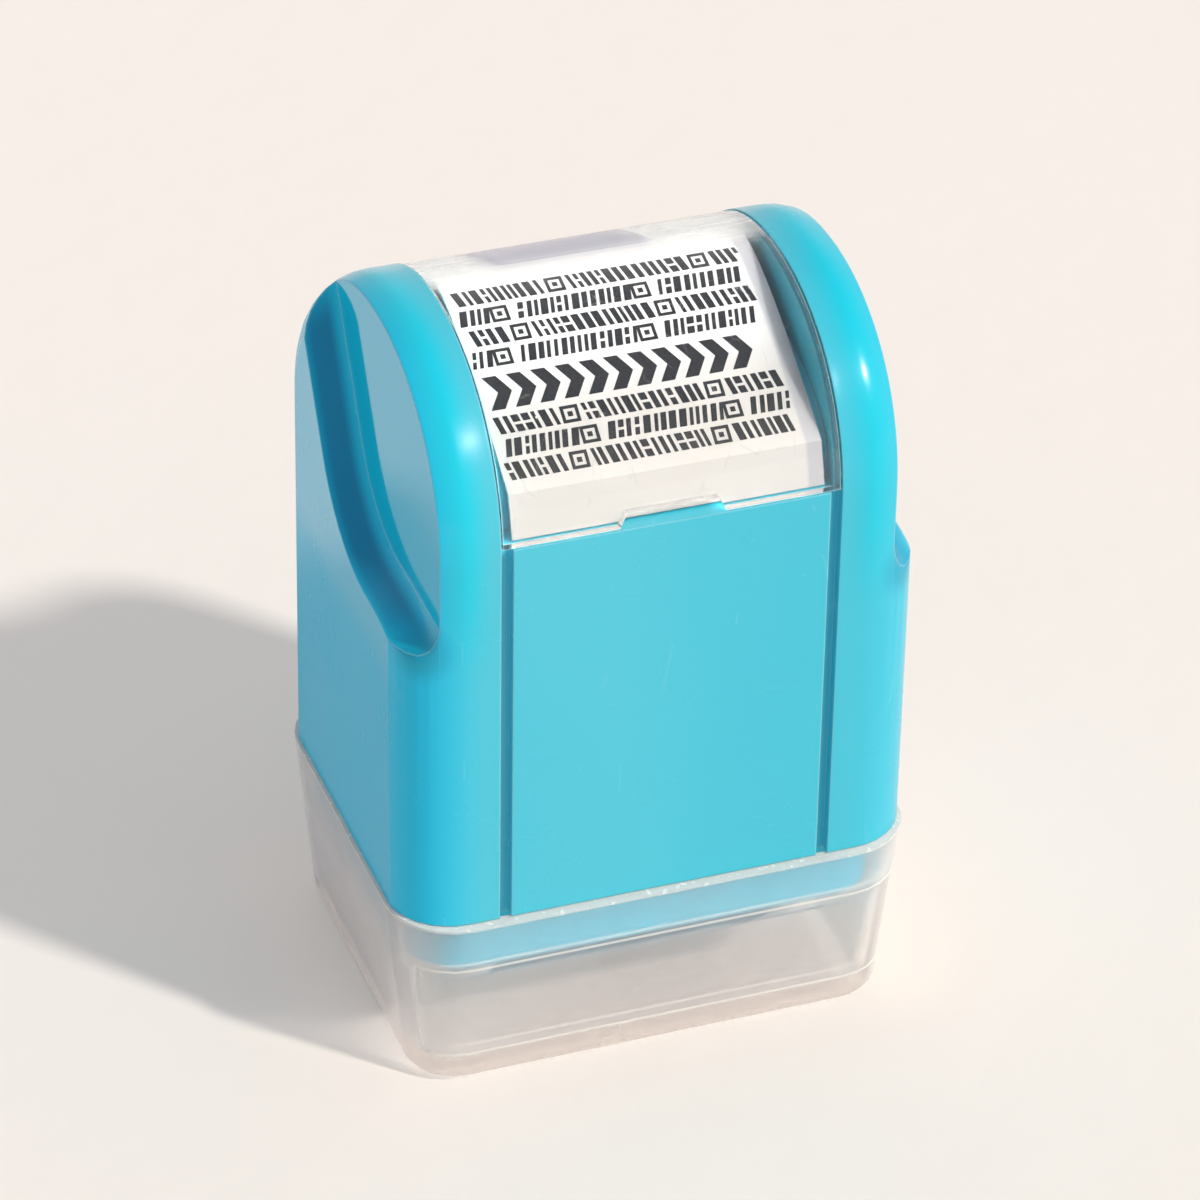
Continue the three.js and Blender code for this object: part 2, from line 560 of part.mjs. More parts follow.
// One cheek's outline in Y and Z, with the bush hole and the open slot of the ink axle.
function cheekShape() {
  const wide = NECK_DEPTH / 2 - NECK_WALL / 2;
  const narrow = CHEEK_TOP_WIDTH / 2;
  const slot = INK_AXLE_RADIUS + FIT_GAP;
  const shape = new THREE.Shape();
  shape.moveTo(-wide, -NECK_DROP + DECK_THICKNESS / 2);
  shape.lineTo(wide, -NECK_DROP + DECK_THICKNESS / 2);
  shape.lineTo(wide, SPIGOT_RISE);
  shape.lineTo(narrow, SPIGOT_RISE + CHEEK_SHOULDER_RISE);
  shape.lineTo(narrow, CHEEK_HEIGHT - CHEEK_CORNER_CUT);
  shape.lineTo(narrow - CHEEK_CORNER_CUT, CHEEK_HEIGHT);
  shape.lineTo(slot, CHEEK_HEIGHT);
  shape.lineTo(slot, INK_AXIS_HEIGHT);
  shape.absarc(0, INK_AXIS_HEIGHT, slot, 0, -Math.PI, true);
  shape.lineTo(-slot, CHEEK_HEIGHT);
  shape.lineTo(-narrow + CHEEK_CORNER_CUT, CHEEK_HEIGHT);
  shape.lineTo(-narrow, CHEEK_HEIGHT - CHEEK_CORNER_CUT);
  shape.lineTo(-narrow, SPIGOT_RISE + CHEEK_SHOULDER_RISE);
  shape.lineTo(-wide, SPIGOT_RISE);
  const bushHole = new THREE.Path();
  bushHole.absarc(0, -DRUM_AXIS_DROP, BUSH_RADIUS + FIT_GAP, 0, 2 * Math.PI, false);
  shape.holes.push(bushHole);
  return shape;
}

function frameSolid() {
  const halfWidth = NECK_WIDTH / 2;
  const halfDepth = NECK_DEPTH / 2;
  const inner = [halfWidth - NECK_WALL, halfDepth - NECK_WALL];
  const bottom = -NECK_DROP;
  const outerForm = loft([
    roundedRing(halfWidth - NECK_CHAMFER, halfDepth - NECK_CHAMFER, NECK_CORNER_RADIUS - NECK_CHAMFER, bottom),
    roundedRing(halfWidth, halfDepth, NECK_CORNER_RADIUS, bottom + NECK_CHAMFER),
    roundedRing(halfWidth, halfDepth, NECK_CORNER_RADIUS, SPIGOT_RISE),
  ]);
  const well = loft([
    roundedRing(inner[0], inner[1], NECK_CORNER_RADIUS - NECK_WALL, bottom + DECK_THICKNESS),
    roundedRing(inner[0], inner[1], NECK_CORNER_RADIUS - NECK_WALL, SPIGOT_RISE + OVERRUN),
  ]);
  const mouth = box([-CHEEK_GAP / 2, -inner[1], bottom - OVERRUN], [CHEEK_GAP / 2, inner[1], SPIGOT_RISE]);
  let frame = solid(outerForm).subtract(solid(well)).subtract(mouth);

  const cheekOut = CHEEK_GAP / 2 + CHEEK_THICKNESS;
  const cheek = cheekShape();
  for (const side of [-1, 1]) {
    const near = side > 0 ? CHEEK_GAP / 2 : -cheekOut;
    frame = frame.add(plateAlongX(cheek, near, near + CHEEK_THICKNESS));
    for (const row of [-1, 1]) {
      const y = (row * NECK_DEPTH * GUSSET_SPACING_SHARE) / 2;
      const ends = [side * (cheekOut - CHEEK_THICKNESS / 2), side * (halfWidth - NECK_WALL / 2)];
      ends.sort((a, b) => a - b);
      frame = frame.add(
        box(
          [ends[0], y - GUSSET_THICKNESS / 2, bottom + DECK_THICKNESS / 2],
          [ends[1], y + GUSSET_THICKNESS / 2, SPIGOT_RISE],
        ),
      );
    }
  }

  const hook = new THREE.Shape();
  const hookTop = HOOK_CENTRE_HEIGHT + HOOK_HEIGHT / 2;
  const hookBottom = HOOK_CENTRE_HEIGHT - HOOK_HEIGHT / 2;
  hook.moveTo(halfDepth - NECK_WALL / 2, hookBottom);
  hook.lineTo(halfDepth + HOOK_REACH, hookBottom);
  hook.lineTo(halfDepth + HOOK_REACH, hookBottom + HOOK_REACH);
  hook.lineTo(halfDepth, hookTop);
  hook.lineTo(halfDepth - NECK_WALL / 2, hookTop);
  const backHook = plateAlongX(hook, -HOOK_WIDTH / 2, HOOK_WIDTH / 2);
  return frame.add(backHook).add(backHook.mirror([0, 1, 0]));
}

function bridgeSolid() {
  const bottom = CHEEK_HEIGHT + FIT_GAP;
  const top = bottom + BRIDGE_THICKNESS;
  const halfWidth = CHEEK_GAP / 2 + CHEEK_THICKNESS;
  const halfDepth = BRIDGE_DEPTH / 2;
  const bore = REFILL_HOLE_DIAMETER / 2;
  const funnelTop = TRAY_TOP - TRAY_THICKNESS - SEAT_GAP;
  let bridge = box([-halfWidth, -halfDepth, bottom], [halfWidth, halfDepth, top]);
  bridge = bridge.add(uprightPin(bore + FUNNEL_WALL, top - BRIDGE_THICKNESS / 2, funnelTop));
  bridge = bridge.subtract(uprightPin(bore, bottom - OVERRUN, funnelTop + OVERRUN));
  bridge = bridge.subtract(uprightPin(bore, funnelTop - FUNNEL_FLARE, funnelTop, bore + FUNNEL_FLARE));
  for (const side of [-1, 1]) {
    const lipOut = CHEEK_GAP / 2 - FIT_GAP;
    const lip = [side * (lipOut - BRIDGE_LIP_THICKNESS), side * lipOut].sort((a, b) => a - b);
    bridge = bridge.add(
      box([lip[0], -halfDepth, bottom - BRIDGE_LIP_HEIGHT], [lip[1], halfDepth, bottom + BRIDGE_THICKNESS / 2]),
    );
    const tongue = [(side * CHEEK_GAP) / 2, side * halfWidth].sort((a, b) => a - b);
    bridge = bridge.add(
      box(
        [tongue[0], -INK_AXLE_RADIUS, INK_AXIS_HEIGHT + INK_AXLE_RADIUS + FIT_GAP],
        [tongue[1], INK_AXLE_RADIUS, bottom + BRIDGE_THICKNESS / 2],
      ),
    );
  }
  return bridge;
}

// A ring or tube about X with bevelled outer edges.
function bevelledTube(outer, inner, fromX, toX, bevel, sides) {
  return turned(
    [
      [inner, fromX],
      [outer - bevel, fromX],
      [outer, fromX + bevel],
      [outer, toX - bevel],
      [outer - bevel, toX],
      [inner, toX],
    ],
    sides,
  );
}

// A plain pin about X with bevelled ends.
function pin(radius, length, bevel, sides) {
  const half = length / 2;
  return new THREE.LatheGeometry(
    [
      [0, -half],
      [radius - bevel, -half],
      [radius, bevel - half],
      [radius, half - bevel],
      [radius - bevel, half],
      [0, half],
    ].map(([r, x]) => new THREE.Vector2(r, x)),
    sides,
  ).rotateZ(-Math.PI / 2);
}

// A hub disc with its boss, for the end of the drum on the given side.
function hubGeometry(side) {
  const face = (side * DRUM_LENGTH) / 2;
  const bore = DRUM_AXLE_RADIUS + FIT_GAP;
  const rim = DRUM_BORE_RADIUS - FIT_GAP;
  return turned(
    [
      [bore, face],
      [rim, face],
      [rim, face - side * HUB_THICKNESS],
      [HUB_BOSS_RADIUS, face - side * HUB_THICKNESS],
      [HUB_BOSS_RADIUS, face - side * HUB_BOSS_LENGTH],
      [bore, face - side * HUB_BOSS_LENGTH],
    ],
    DRUM_SIDES,
  );
}

// A flanged bush in the cheek on the given side.
function bushGeometry(side) {
  const cheekIn = (side * CHEEK_GAP) / 2;
  const seat = cheekIn - side * FIT_GAP;
  const bore = DRUM_AXLE_RADIUS + FIT_GAP;
  return turned(
    [
      [bore, seat - side * BUSH_FLANGE_THICKNESS],
      [BUSH_RADIUS + BUSH_FLANGE_WIDTH, seat - side * BUSH_FLANGE_THICKNESS],
      [BUSH_RADIUS + BUSH_FLANGE_WIDTH, seat],
      [BUSH_RADIUS, seat],
      [BUSH_RADIUS, cheekIn + side * CHEEK_THICKNESS],
      [bore, cheekIn + side * CHEEK_THICKNESS],
    ],
    AXLE_SIDES,
  );
}

const COLOURS = {
  blue: { color: 0x34bfd8, roughness: 0.32, metalness: 0 },
  clear: { color: 0xf2f6f8, roughness: 0.08, metalness: 0, transparent: true, opacity: 0.25 },
  milky: { color: 0xdfdcd6, roughness: 0.45, metalness: 0, transparent: true, opacity: 0.6 },
  paper: { color: 0xf1ece4, roughness: 0.85, metalness: 0 },
  white: { color: 0xe6e6e2, roughness: 0.4, metalness: 0 },
  rubber: { color: 0x3a3b42, roughness: 0.75, metalness: 0 },
  foam: { color: 0x24242a, roughness: 0.95, metalness: 0 },
  steel: { color: 0xb9bcc0, roughness: 0.3, metalness: 1 },
};

function mesh(name, geometry, colour) {
  geometry.computeVertexNormals();
  const made = new THREE.Mesh(geometry, new THREE.MeshStandardMaterial(COLOURS[colour]));
  made.name = name;
  return made;
}

const stampGroup = new THREE.Group();
stampGroup.position.z = HOUSING_BASE;
stampGroup.add(mesh("housing_shell", geometryOf(housingSolid()), "blue"));
stampGroup.add(mesh("window_cover", geometryOf(coverSolid()), "clear"));
stampGroup.add(mesh("label_card", geometryOf(labelSolid()), "paper"));
stampGroup.add(mesh("roller_frame", geometryOf(frameSolid()), "blue"));
stampGroup.add(mesh("frame_bridge", geometryOf(bridgeSolid()), "blue"));

const drumGroup = new THREE.Group();
drumGroup.position.z = -DRUM_AXIS_DROP;
const sleeveIn = SLEEVE_RADIUS - SLEEVE_THICKNESS;
drumGroup.add(
  mesh(
    "stamp_sleeve",
    bevelledTube(SLEEVE_RADIUS, sleeveIn, -SLEEVE_LENGTH / 2, SLEEVE_LENGTH / 2, RING_CHAMFER, DRUM_SIDES),
    "rubber",
  ),
  mesh(
    "drum_tube",
    bevelledTube(DRUM_TUBE_RADIUS, DRUM_BORE_RADIUS, -DRUM_LENGTH / 2, DRUM_LENGTH / 2, RING_CHAMFER, DRUM_SIDES),
    "white",
  ),
  mesh("drum_axle", pin(DRUM_AXLE_RADIUS, DRUM_AXLE_LENGTH, AXLE_CHAMFER, AXLE_SIDES), "steel"),
);
for (const [word, side] of [
  ["left", -1],
  ["right", 1],
]) {
  const ring = [side * (DRUM_LENGTH / 2 - RING_WIDTH), (side * DRUM_LENGTH) / 2].sort((a, b) => a - b);
  drumGroup.add(
    mesh(
      `traction_ring_${word}`,
      bevelledTube(SLEEVE_RADIUS, sleeveIn, ring[0], ring[1], RING_CHAMFER, DRUM_SIDES),
      "white",
    ),
    mesh(`drum_hub_${word}`, hubGeometry(side), "white"),
    mesh(`axle_bush_${word}`, bushGeometry(side), "white"),
  );
}
stampGroup.add(drumGroup);

const inkGroup = new THREE.Group();
inkGroup.position.z = INK_AXIS_HEIGHT;
const foamIn = INK_CORE_RADIUS + FIT_GAP;
inkGroup.add(
  mesh(
    "ink_sponge",
    bevelledTube(SPONGE_RADIUS, foamIn, -SPONGE_LENGTH / 2, SPONGE_LENGTH / 2, RING_CHAMFER, DRUM_SIDES),
    "foam",
  ),
  mesh(
    "ink_core",
    bevelledTube(
      INK_CORE_RADIUS,
      INK_AXLE_RADIUS + FIT_GAP,
      -INK_CORE_LENGTH / 2,
      INK_CORE_LENGTH / 2,
      AXLE_CHAMFER,
      AXLE_SIDES,
    ),
    "white",
  ),
  mesh("ink_axle", pin(INK_AXLE_RADIUS, INK_AXLE_LENGTH, AXLE_CHAMFER, AXLE_SIDES), "steel"),
);
for (const [word, side] of [
  ["left", -1],
  ["right", 1],
]) {
  const inside = side * (SPONGE_LENGTH / 2 + FIT_GAP);
  const ends = [inside, inside + side * INK_FLANGE_THICKNESS].sort((a, b) => a - b);
  inkGroup.add(
    mesh(
      `ink_flange_${word}`,
      bevelledTube(INK_FLANGE_RADIUS, foamIn, ends[0], ends[1], AXLE_CHAMFER, DRUM_SIDES / 2),
      "white",
    ),
  );
}
stampGroup.add(inkGroup);

const rollerStamp = new THREE.Group();
rollerStamp.name = "privacy_roller_stamp";
rollerStamp.add(mesh("cap", geometryOf(capSolid()), "milky"), stampGroup);

export default rollerStamp;
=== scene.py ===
import json
import math
import random

import bpy
import numpy as np
from mathutils import Matrix, Vector
from mathutils.bvhtree import BVHTree


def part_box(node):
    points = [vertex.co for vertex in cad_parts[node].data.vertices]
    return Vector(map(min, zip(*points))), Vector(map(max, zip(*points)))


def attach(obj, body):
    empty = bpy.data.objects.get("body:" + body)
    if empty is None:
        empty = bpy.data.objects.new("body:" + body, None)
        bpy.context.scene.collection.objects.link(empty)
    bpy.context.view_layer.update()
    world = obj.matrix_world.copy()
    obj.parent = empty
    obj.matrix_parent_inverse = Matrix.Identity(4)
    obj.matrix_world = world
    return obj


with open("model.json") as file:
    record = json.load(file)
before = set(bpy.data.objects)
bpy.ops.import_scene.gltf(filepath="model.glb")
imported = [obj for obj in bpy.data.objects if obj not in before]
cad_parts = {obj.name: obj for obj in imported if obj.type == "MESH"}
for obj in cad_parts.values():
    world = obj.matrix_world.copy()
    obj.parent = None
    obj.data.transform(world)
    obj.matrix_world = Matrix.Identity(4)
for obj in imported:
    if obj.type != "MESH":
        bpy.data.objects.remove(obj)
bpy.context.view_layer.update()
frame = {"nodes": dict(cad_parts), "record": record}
nodes = frame["nodes"]

MM = 0.001

# Camera, as the photograph's perspective gives it
CAMERA_AZIMUTH = math.radians(-20.41)
CAMERA_ELEVATION = math.radians(33.19)
CAMERA_ROLL = math.radians(1.19)
CAMERA_DISTANCE = 442.7 * MM
CAMERA_TARGET = Vector((0, 0, 37.85 * MM))
LENS = 163.1
SENSOR = 36.0
SHIFT_X = 0.0007
SHIFT_Y = -0.0327
CAMERA_CLIP = (0.01, 20)

# Light
SUN_AZIMUTH = math.radians(40)
SUN_ELEVATION = math.radians(41.5)
SUN_ANGLE = math.radians(4)
SUN_STRENGTH = 2.2
SUN_COLOUR = (1.0, 0.96, 0.90)
SKY_LEFT = (0.34, 0.40, 0.50, 1)
SKY_RIGHT = (0.72, 0.70, 0.67, 1)
SKY_HIGH = (0.40, 0.42, 0.45, 1)
# Shares of a heading's sideways and upward parts over which the sky's colours meet
SKY_ACROSS = (-0.8, 0.4)
SKY_UPWARD = (0.25, 0.8)

FLOOR_SIZE = 3.0
FLOOR_COLOUR = (0.857, 0.79, 0.74)
FLOOR_DRIFT = (0.985, 0.985, 0.97)
# Light of the floor's own that only the eye and reflections get, so that the object's light stays as it is
FLOOR_GLOW = 0.19

# Corners between faces that meet at more than this stay sharp in the shading
CREASE_ANGLE = math.radians(32)
# and so do the faint ones along the housing's side faces and recess floors
FAINT_CREASE_ANGLE = math.radians(8.5)
RECESS_DEPTH = 3 * MM
SIDE_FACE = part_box("housing_shell")[1].x
RECESS_FLOOR = SIDE_FACE - RECESS_DEPTH
PLANE_REACH = 0.01 * MM
MERGE_DISTANCE = 0.001 * MM
EDGE_ROUNDING = 0.22 * MM
EDGE_SAMPLES = 4
# Agreement of the rounded and the flat normal, from beside an edge to on it
EDGE_TURN = (0.999, 0.95)

# Dust and scratches: how much of a speck is solid, and how long, thin and broken the scratches are
SPECK_CORE = 0.6
HAIRLINE_STRETCH = (1, 1, 0.15)
HAIRLINE_WIDTH = (0.02, 0.006)
HAIRLINE_BREAKS = 1.3
HAIRLINE_FADE = 0.04
# Middle part of a noise's values, and a narrower one
MIDDLE = (0.3, 0.7)
INNER = (0.35, 0.65)


class Graph:
    """A material's or world's node tree, with short calls for the nodes used here."""

    def __init__(self, owner):
        owner.use_nodes = True
        self.tree = owner.node_tree
        self.tree.nodes.clear()

    def add(self, kind, inputs=None, **settings):
        node = self.tree.nodes.new(kind)
        for name, value in settings.items():
            setattr(node, name, value)
        for name, value in (inputs or {}).items():
            self.put(node.inputs[name], value)
        return node

    def put(self, socket, value):
        if isinstance(value, bpy.types.NodeSocket):
            self.tree.links.new(value, socket)
        else:
            socket.default_value = value

    def math(self, operation, first, second=0.0, third=0.0, clamp=False):
        node = self.add("ShaderNodeMath", operation=operation, use_clamp=clamp)
        for socket, value in zip(node.inputs, (first, second, third)):
            self.put(socket, value)
        return node.outputs[0]

    def ramp(self, value, low, high, out_low=0.0, out_high=1.0):
        """A soft step from one result to another as the value goes from low to high."""
        node = self.add(
            "ShaderNodeMapRange",
            {0: value, 1: low, 2: high, 3: out_low, 4: out_high},
            interpolation_type="SMOOTHSTEP",
        )
        return node.outputs[0]

    def mix(self, share, first, second):
        node = self.add("ShaderNodeMix", data_type="RGBA")
        self.put(node.inputs[0], share)
        self.put(node.inputs[6], first)
        self.put(node.inputs[7], second)
        return node.outputs[2]

    def place(self, stretch=(1, 1, 1), turn=(0, 0, 0)):
        coords = self.add("ShaderNodeTexCoord").outputs["Object"]
        return self.add(
            "ShaderNodeMapping", {"Vector": coords, "Rotation": turn, "Scale": stretch}
        ).outputs[0]

    def noise(self, scale, detail=2.0, where=None, roughness=0.5):
        """Cloudy noise of about so many clouds per metre."""
        inputs = {"Scale": scale, "Detail": detail, "Roughness": roughness}
        inputs["Vector"] = self.place() if where is None else where
        return self.add("ShaderNodeTexNoise", inputs).outputs[0]

    def cells(self, scale, where=None, feature="F1", output="Distance"):
        """Irregular cells, so many per metre."""
        inputs = {"Scale": scale, "Vector": self.place() if where is None else where}
        return self.add("ShaderNodeTexVoronoi", inputs, feature=feature).outputs[output]

    def rounded(self, radius=EDGE_ROUNDING):
        """The normal of a surface whose sharp edges are a little rounded."""
        return self.add("ShaderNodeBevel", {"Radius": radius}, samples=EDGE_SAMPLES).outputs[0]

    def bump(self, height, distance, strength=1.0, normal=None):
        """The normal of a surface raised by up to the distance where the height is 1."""
        inputs = {"Height": height, "Distance": distance, "Strength": strength}
        if normal is not None:
            inputs["Normal"] = normal
        return self.add("ShaderNodeBump", inputs).outputs[0]

    def leaning(self, tilt, normal=None):
        """A normal that leans to the front by a tilt."""
        if normal is None:
            normal = self.flat_normal()
        forward = self.add("ShaderNodeCombineXYZ", {1: self.math("MULTIPLY", tilt, -1)}).outputs[0]
        tilted = self.add("ShaderNodeVectorMath", {0: normal, 1: forward}, operation="ADD").outputs[0]
        return self.add("ShaderNodeVectorMath", {0: tilted}, operation="NORMALIZE").outputs[0]

    def specks(self, scale, size, share):
        """Small spots in a share of the cells of a grid: 1 on a spot, 0 elsewhere."""
        near = self.ramp(self.cells(scale), size, size * SPECK_CORE)
        chance = self.add("ShaderNodeSeparateColor", {0: self.cells(scale, output="Color")})
        chosen = self.math("LESS_THAN", chance.outputs[0], share)
        return self.times(near, chosen)

    def hairlines(self, scale, turn, share):
        """Fine scratches, the edges of long cells, broken up: 1 on a scratch, 0 elsewhere."""
        edge = self.cells(scale, self.place(HAIRLINE_STRETCH, turn), "DISTANCE_TO_EDGE")
        level = 1 - share
        broken = self.ramp(self.noise(scale * HAIRLINE_BREAKS), level, level + HAIRLINE_FADE)
        return self.times(self.ramp(edge, *HAIRLINE_WIDTH), broken)

    def edges(self, radius):
        """Where a surface is within the radius of a sharp edge: up to 1 beside it, 0 elsewhere."""
        normals = {0: self.rounded(radius), 1: self.flat_normal()}
        along = self.add("ShaderNodeVectorMath", normals, operation="DOT_PRODUCT")
        return self.ramp(along.outputs["Value"], *EDGE_TURN)

    def position(self):
        """The place on the object, as its three parts."""
        return self.add("ShaderNodeSeparateXYZ", {0: self.place()}).outputs

    def flat_normal(self):
        return self.add("ShaderNodeNewGeometry").outputs["Normal"]

    def facing(self):
        """The way that the surface faces, as its three parts."""
        return self.add("ShaderNodeSeparateXYZ", {0: self.flat_normal()}).outputs

    def times(self, first, *others):
        for other in others:
            first = self.math("MULTIPLY", first, other)
        return first

    def most(self, first, *others):
        for other in others:
            first = self.math("MAXIMUM", first, other)
        return first

    def distance(self, value, level):
        return self.math("ABSOLUTE", self.math("SUBTRACT", value, level))

    def blend(self, share, first, second):
        return self.add("ShaderNodeMixShader", {0: share, 1: first, 2: second}).outputs[0]

    def principled(self, inputs):
        return self.add("ShaderNodeBsdfPrincipled", inputs).outputs[0]

    def surface(self, shader):
        self.add("ShaderNodeOutputMaterial", {"Surface": shader})


def new_material(name):
    material = bpy.data.materials.new(name)
    return material, Graph(material)


# Blues of the housing by zone: plain front; darker towards the right, where a painted sheen fades; painted
# shade on the sides; arms' tops; painted shade on the banks and the banks' ends
SHELL_BLUE = (0.085, 0.605, 0.755, 1)
SHELL_FLOW_BLUE = (0.065, 0.585, 0.74, 1)
SHELL_PALE_BLUE = (0.4, 0.8, 0.9, 1)
RIGHT_SHADE_BLUE = (0.055, 0.575, 0.735, 1)
SIDE_SHADE_BLUE = (0.0, 0.61, 0.89, 1)
ARM_BLUE = (0.005, 0.635, 0.81, 1)
BANK_SHADE_BLUE = (0.0, 0.28, 0.50, 1)
BANK_END_SHADE_BLUE = (0.0, 0.42, 0.62, 1)
RIGHT_SHADE_SPAN = (-8 * MM, 18 * MM)
# Painted shade on the sides: where it sets in across them, and the share of it that the sunlit right keeps
SIDE_SHADE_SPAN = (15 * MM, 20 * MM)
SIDE_SHADE_LEAST = 0.3

PLASTIC_IOR = 1.5
# Gloss of the housing: a thin coat on the front, a thick one where the mould was polished
SHELL_ROUGHNESS = 0.25
MIRROR_ROUGHNESS = 0.07
BANK_ROUGHNESS = 0.12
PLAIN_COAT = 0.28
PLAIN_COAT_SPAN = (20.5 * MM, 19 * MM)
POLISHED_COAT = 0.42
COAT_ROUGHNESS = 0.05
SIDE_POLISH_HEIGHTS = (37 * MM, 42 * MM)
RECESS_POLISH_HEIGHTS = (49.5 * MM, 54 * MM)
RECESS_POLISH_LEAST = 0.3

# The arms' tops are slightly crowned, and the recess floors have a little draft
ARM_RISE = (14.5 * MM, 17 * MM)
ARM_FALL = (19.5 * MM, 17 * MM)
ARM_HEIGHTS = (38 * MM, 50 * MM)
ARM_CROWN = 0.13 * MM
RECESS_DRAFT = math.tan(math.radians(7))

# The bank behind each finger recess, and its rounded end at the front
BANK_SPAN = (19.1 * MM, 20.1 * MM)
BANK_RIM_SPAN = (21.3 * MM, 21.95 * MM)
BANK_RIM_SHARE = 0.6
BANK_FACING = (0.3, 0.1)
BANK_BACK = (11 * MM, 9 * MM)
BANK_FOOT = (42.5 * MM, 44.5 * MM)
BANK_END = Vector((-20.6 * MM, -15.2 * MM, 43 * MM))
BANK_END_REACH = 3.6 * MM
BANK_END_CORE = 0.25
BANK_END_ROUNDING = 1.4 * MM

FRAME_BLUE = (0.03, 0.58, 0.78, 1)
FRAME_FLOW_BLUE = (0.028, 0.56, 0.75, 1)
FRAME_PALE_BLUE = (0.3, 0.7, 0.8, 1)
FRAME_ROUGHNESS = 0.38

# Flow marks, dullness and grain of blue plastic
# Each pair called a noise, here and below: clouds per metre, and detail
FLOW_NOISE = (45, 3.0)
FLOW_STRETCH = (1, 1, 0.35)
DULL_NOISE = (120, 4.0)
DULL_SPREAD = (0.9, 1.15)
GRAIN_NOISE = (900, 2.0)
GRAIN_HEIGHT = 0.004 * MM

# Marks on it: for dust, cells per metre, size in its cell and share of the cells that have a speck,
# and for scratches, cells per metre, turn and share of their length that shows
DUST = (420, 0.08, 0.012)
DUST_SHARE = 0.5
SCRATCHES = (170, (0.5, 0.3, 0.2), 0.38)
SCRATCH_SHARE = 0.06
MARK_ROUGHNESS = 0.4
# Painted highlights along sharp edges: how wide, and what share of the pale blue they take
EDGE_HIGHLIGHT_WIDTH = 0.2 * MM
EDGE_HIGHLIGHT_SHARE = 0.6


def shell_zones(g):
    """Zones of the housing: polished planes, finger recess floors, their banks and the banks' front ends."""
    place = g.position()
    across = g.math("ABSOLUTE", place[0])
    planes, polish = [], []
    for plane, heights, least in (
        (SIDE_FACE, SIDE_POLISH_HEIGHTS, 0.0),
        (RECESS_FLOOR, RECESS_POLISH_HEIGHTS, RECESS_POLISH_LEAST),
    ):
        near = g.math("LESS_THAN", g.distance(across, plane), 2 * PLANE_REACH)
        planes.append(near)
        polish.append(g.times(near, g.ramp(place[2], *heights, least, 1.0)))
    plain = g.math("SUBTRACT", 1.0, g.most(*planes))
    bank = g.times(
        g.ramp(across, *BANK_SPAN),
        g.ramp(g.facing()[1], *BANK_FACING),
        g.ramp(place[1], *BANK_BACK),
        g.ramp(place[2], *BANK_FOOT),
        g.ramp(across, *BANK_RIM_SPAN, 1.0, BANK_RIM_SHARE),
    )
    mirrored = {0: g.math("MULTIPLY", across, -1), 1: place[1], 2: place[2]}
    mirrored = g.add("ShaderNodeCombineXYZ", mirrored).outputs[0]
    away = g.add("ShaderNodeVectorMath", {0: mirrored, 1: BANK_END}, operation="DISTANCE")
    end = g.ramp(away.outputs["Value"], BANK_END_REACH, BANK_END_CORE * BANK_END_REACH)
    arm = g.times(g.ramp(across, *ARM_RISE), g.ramp(across, *ARM_FALL), g.ramp(place[2], *ARM_HEIGHTS))
    return {
        "across": across,
        "arm": arm,
        # how far towards the right, where the front's painted sheen has faded
        "right": g.ramp(place[0], *RIGHT_SHADE_SPAN),
        "polish": g.most(*polish),
        "mirror": planes[1],
        "bank": g.times(bank, plain),
        "end": g.times(end, plain),
    }


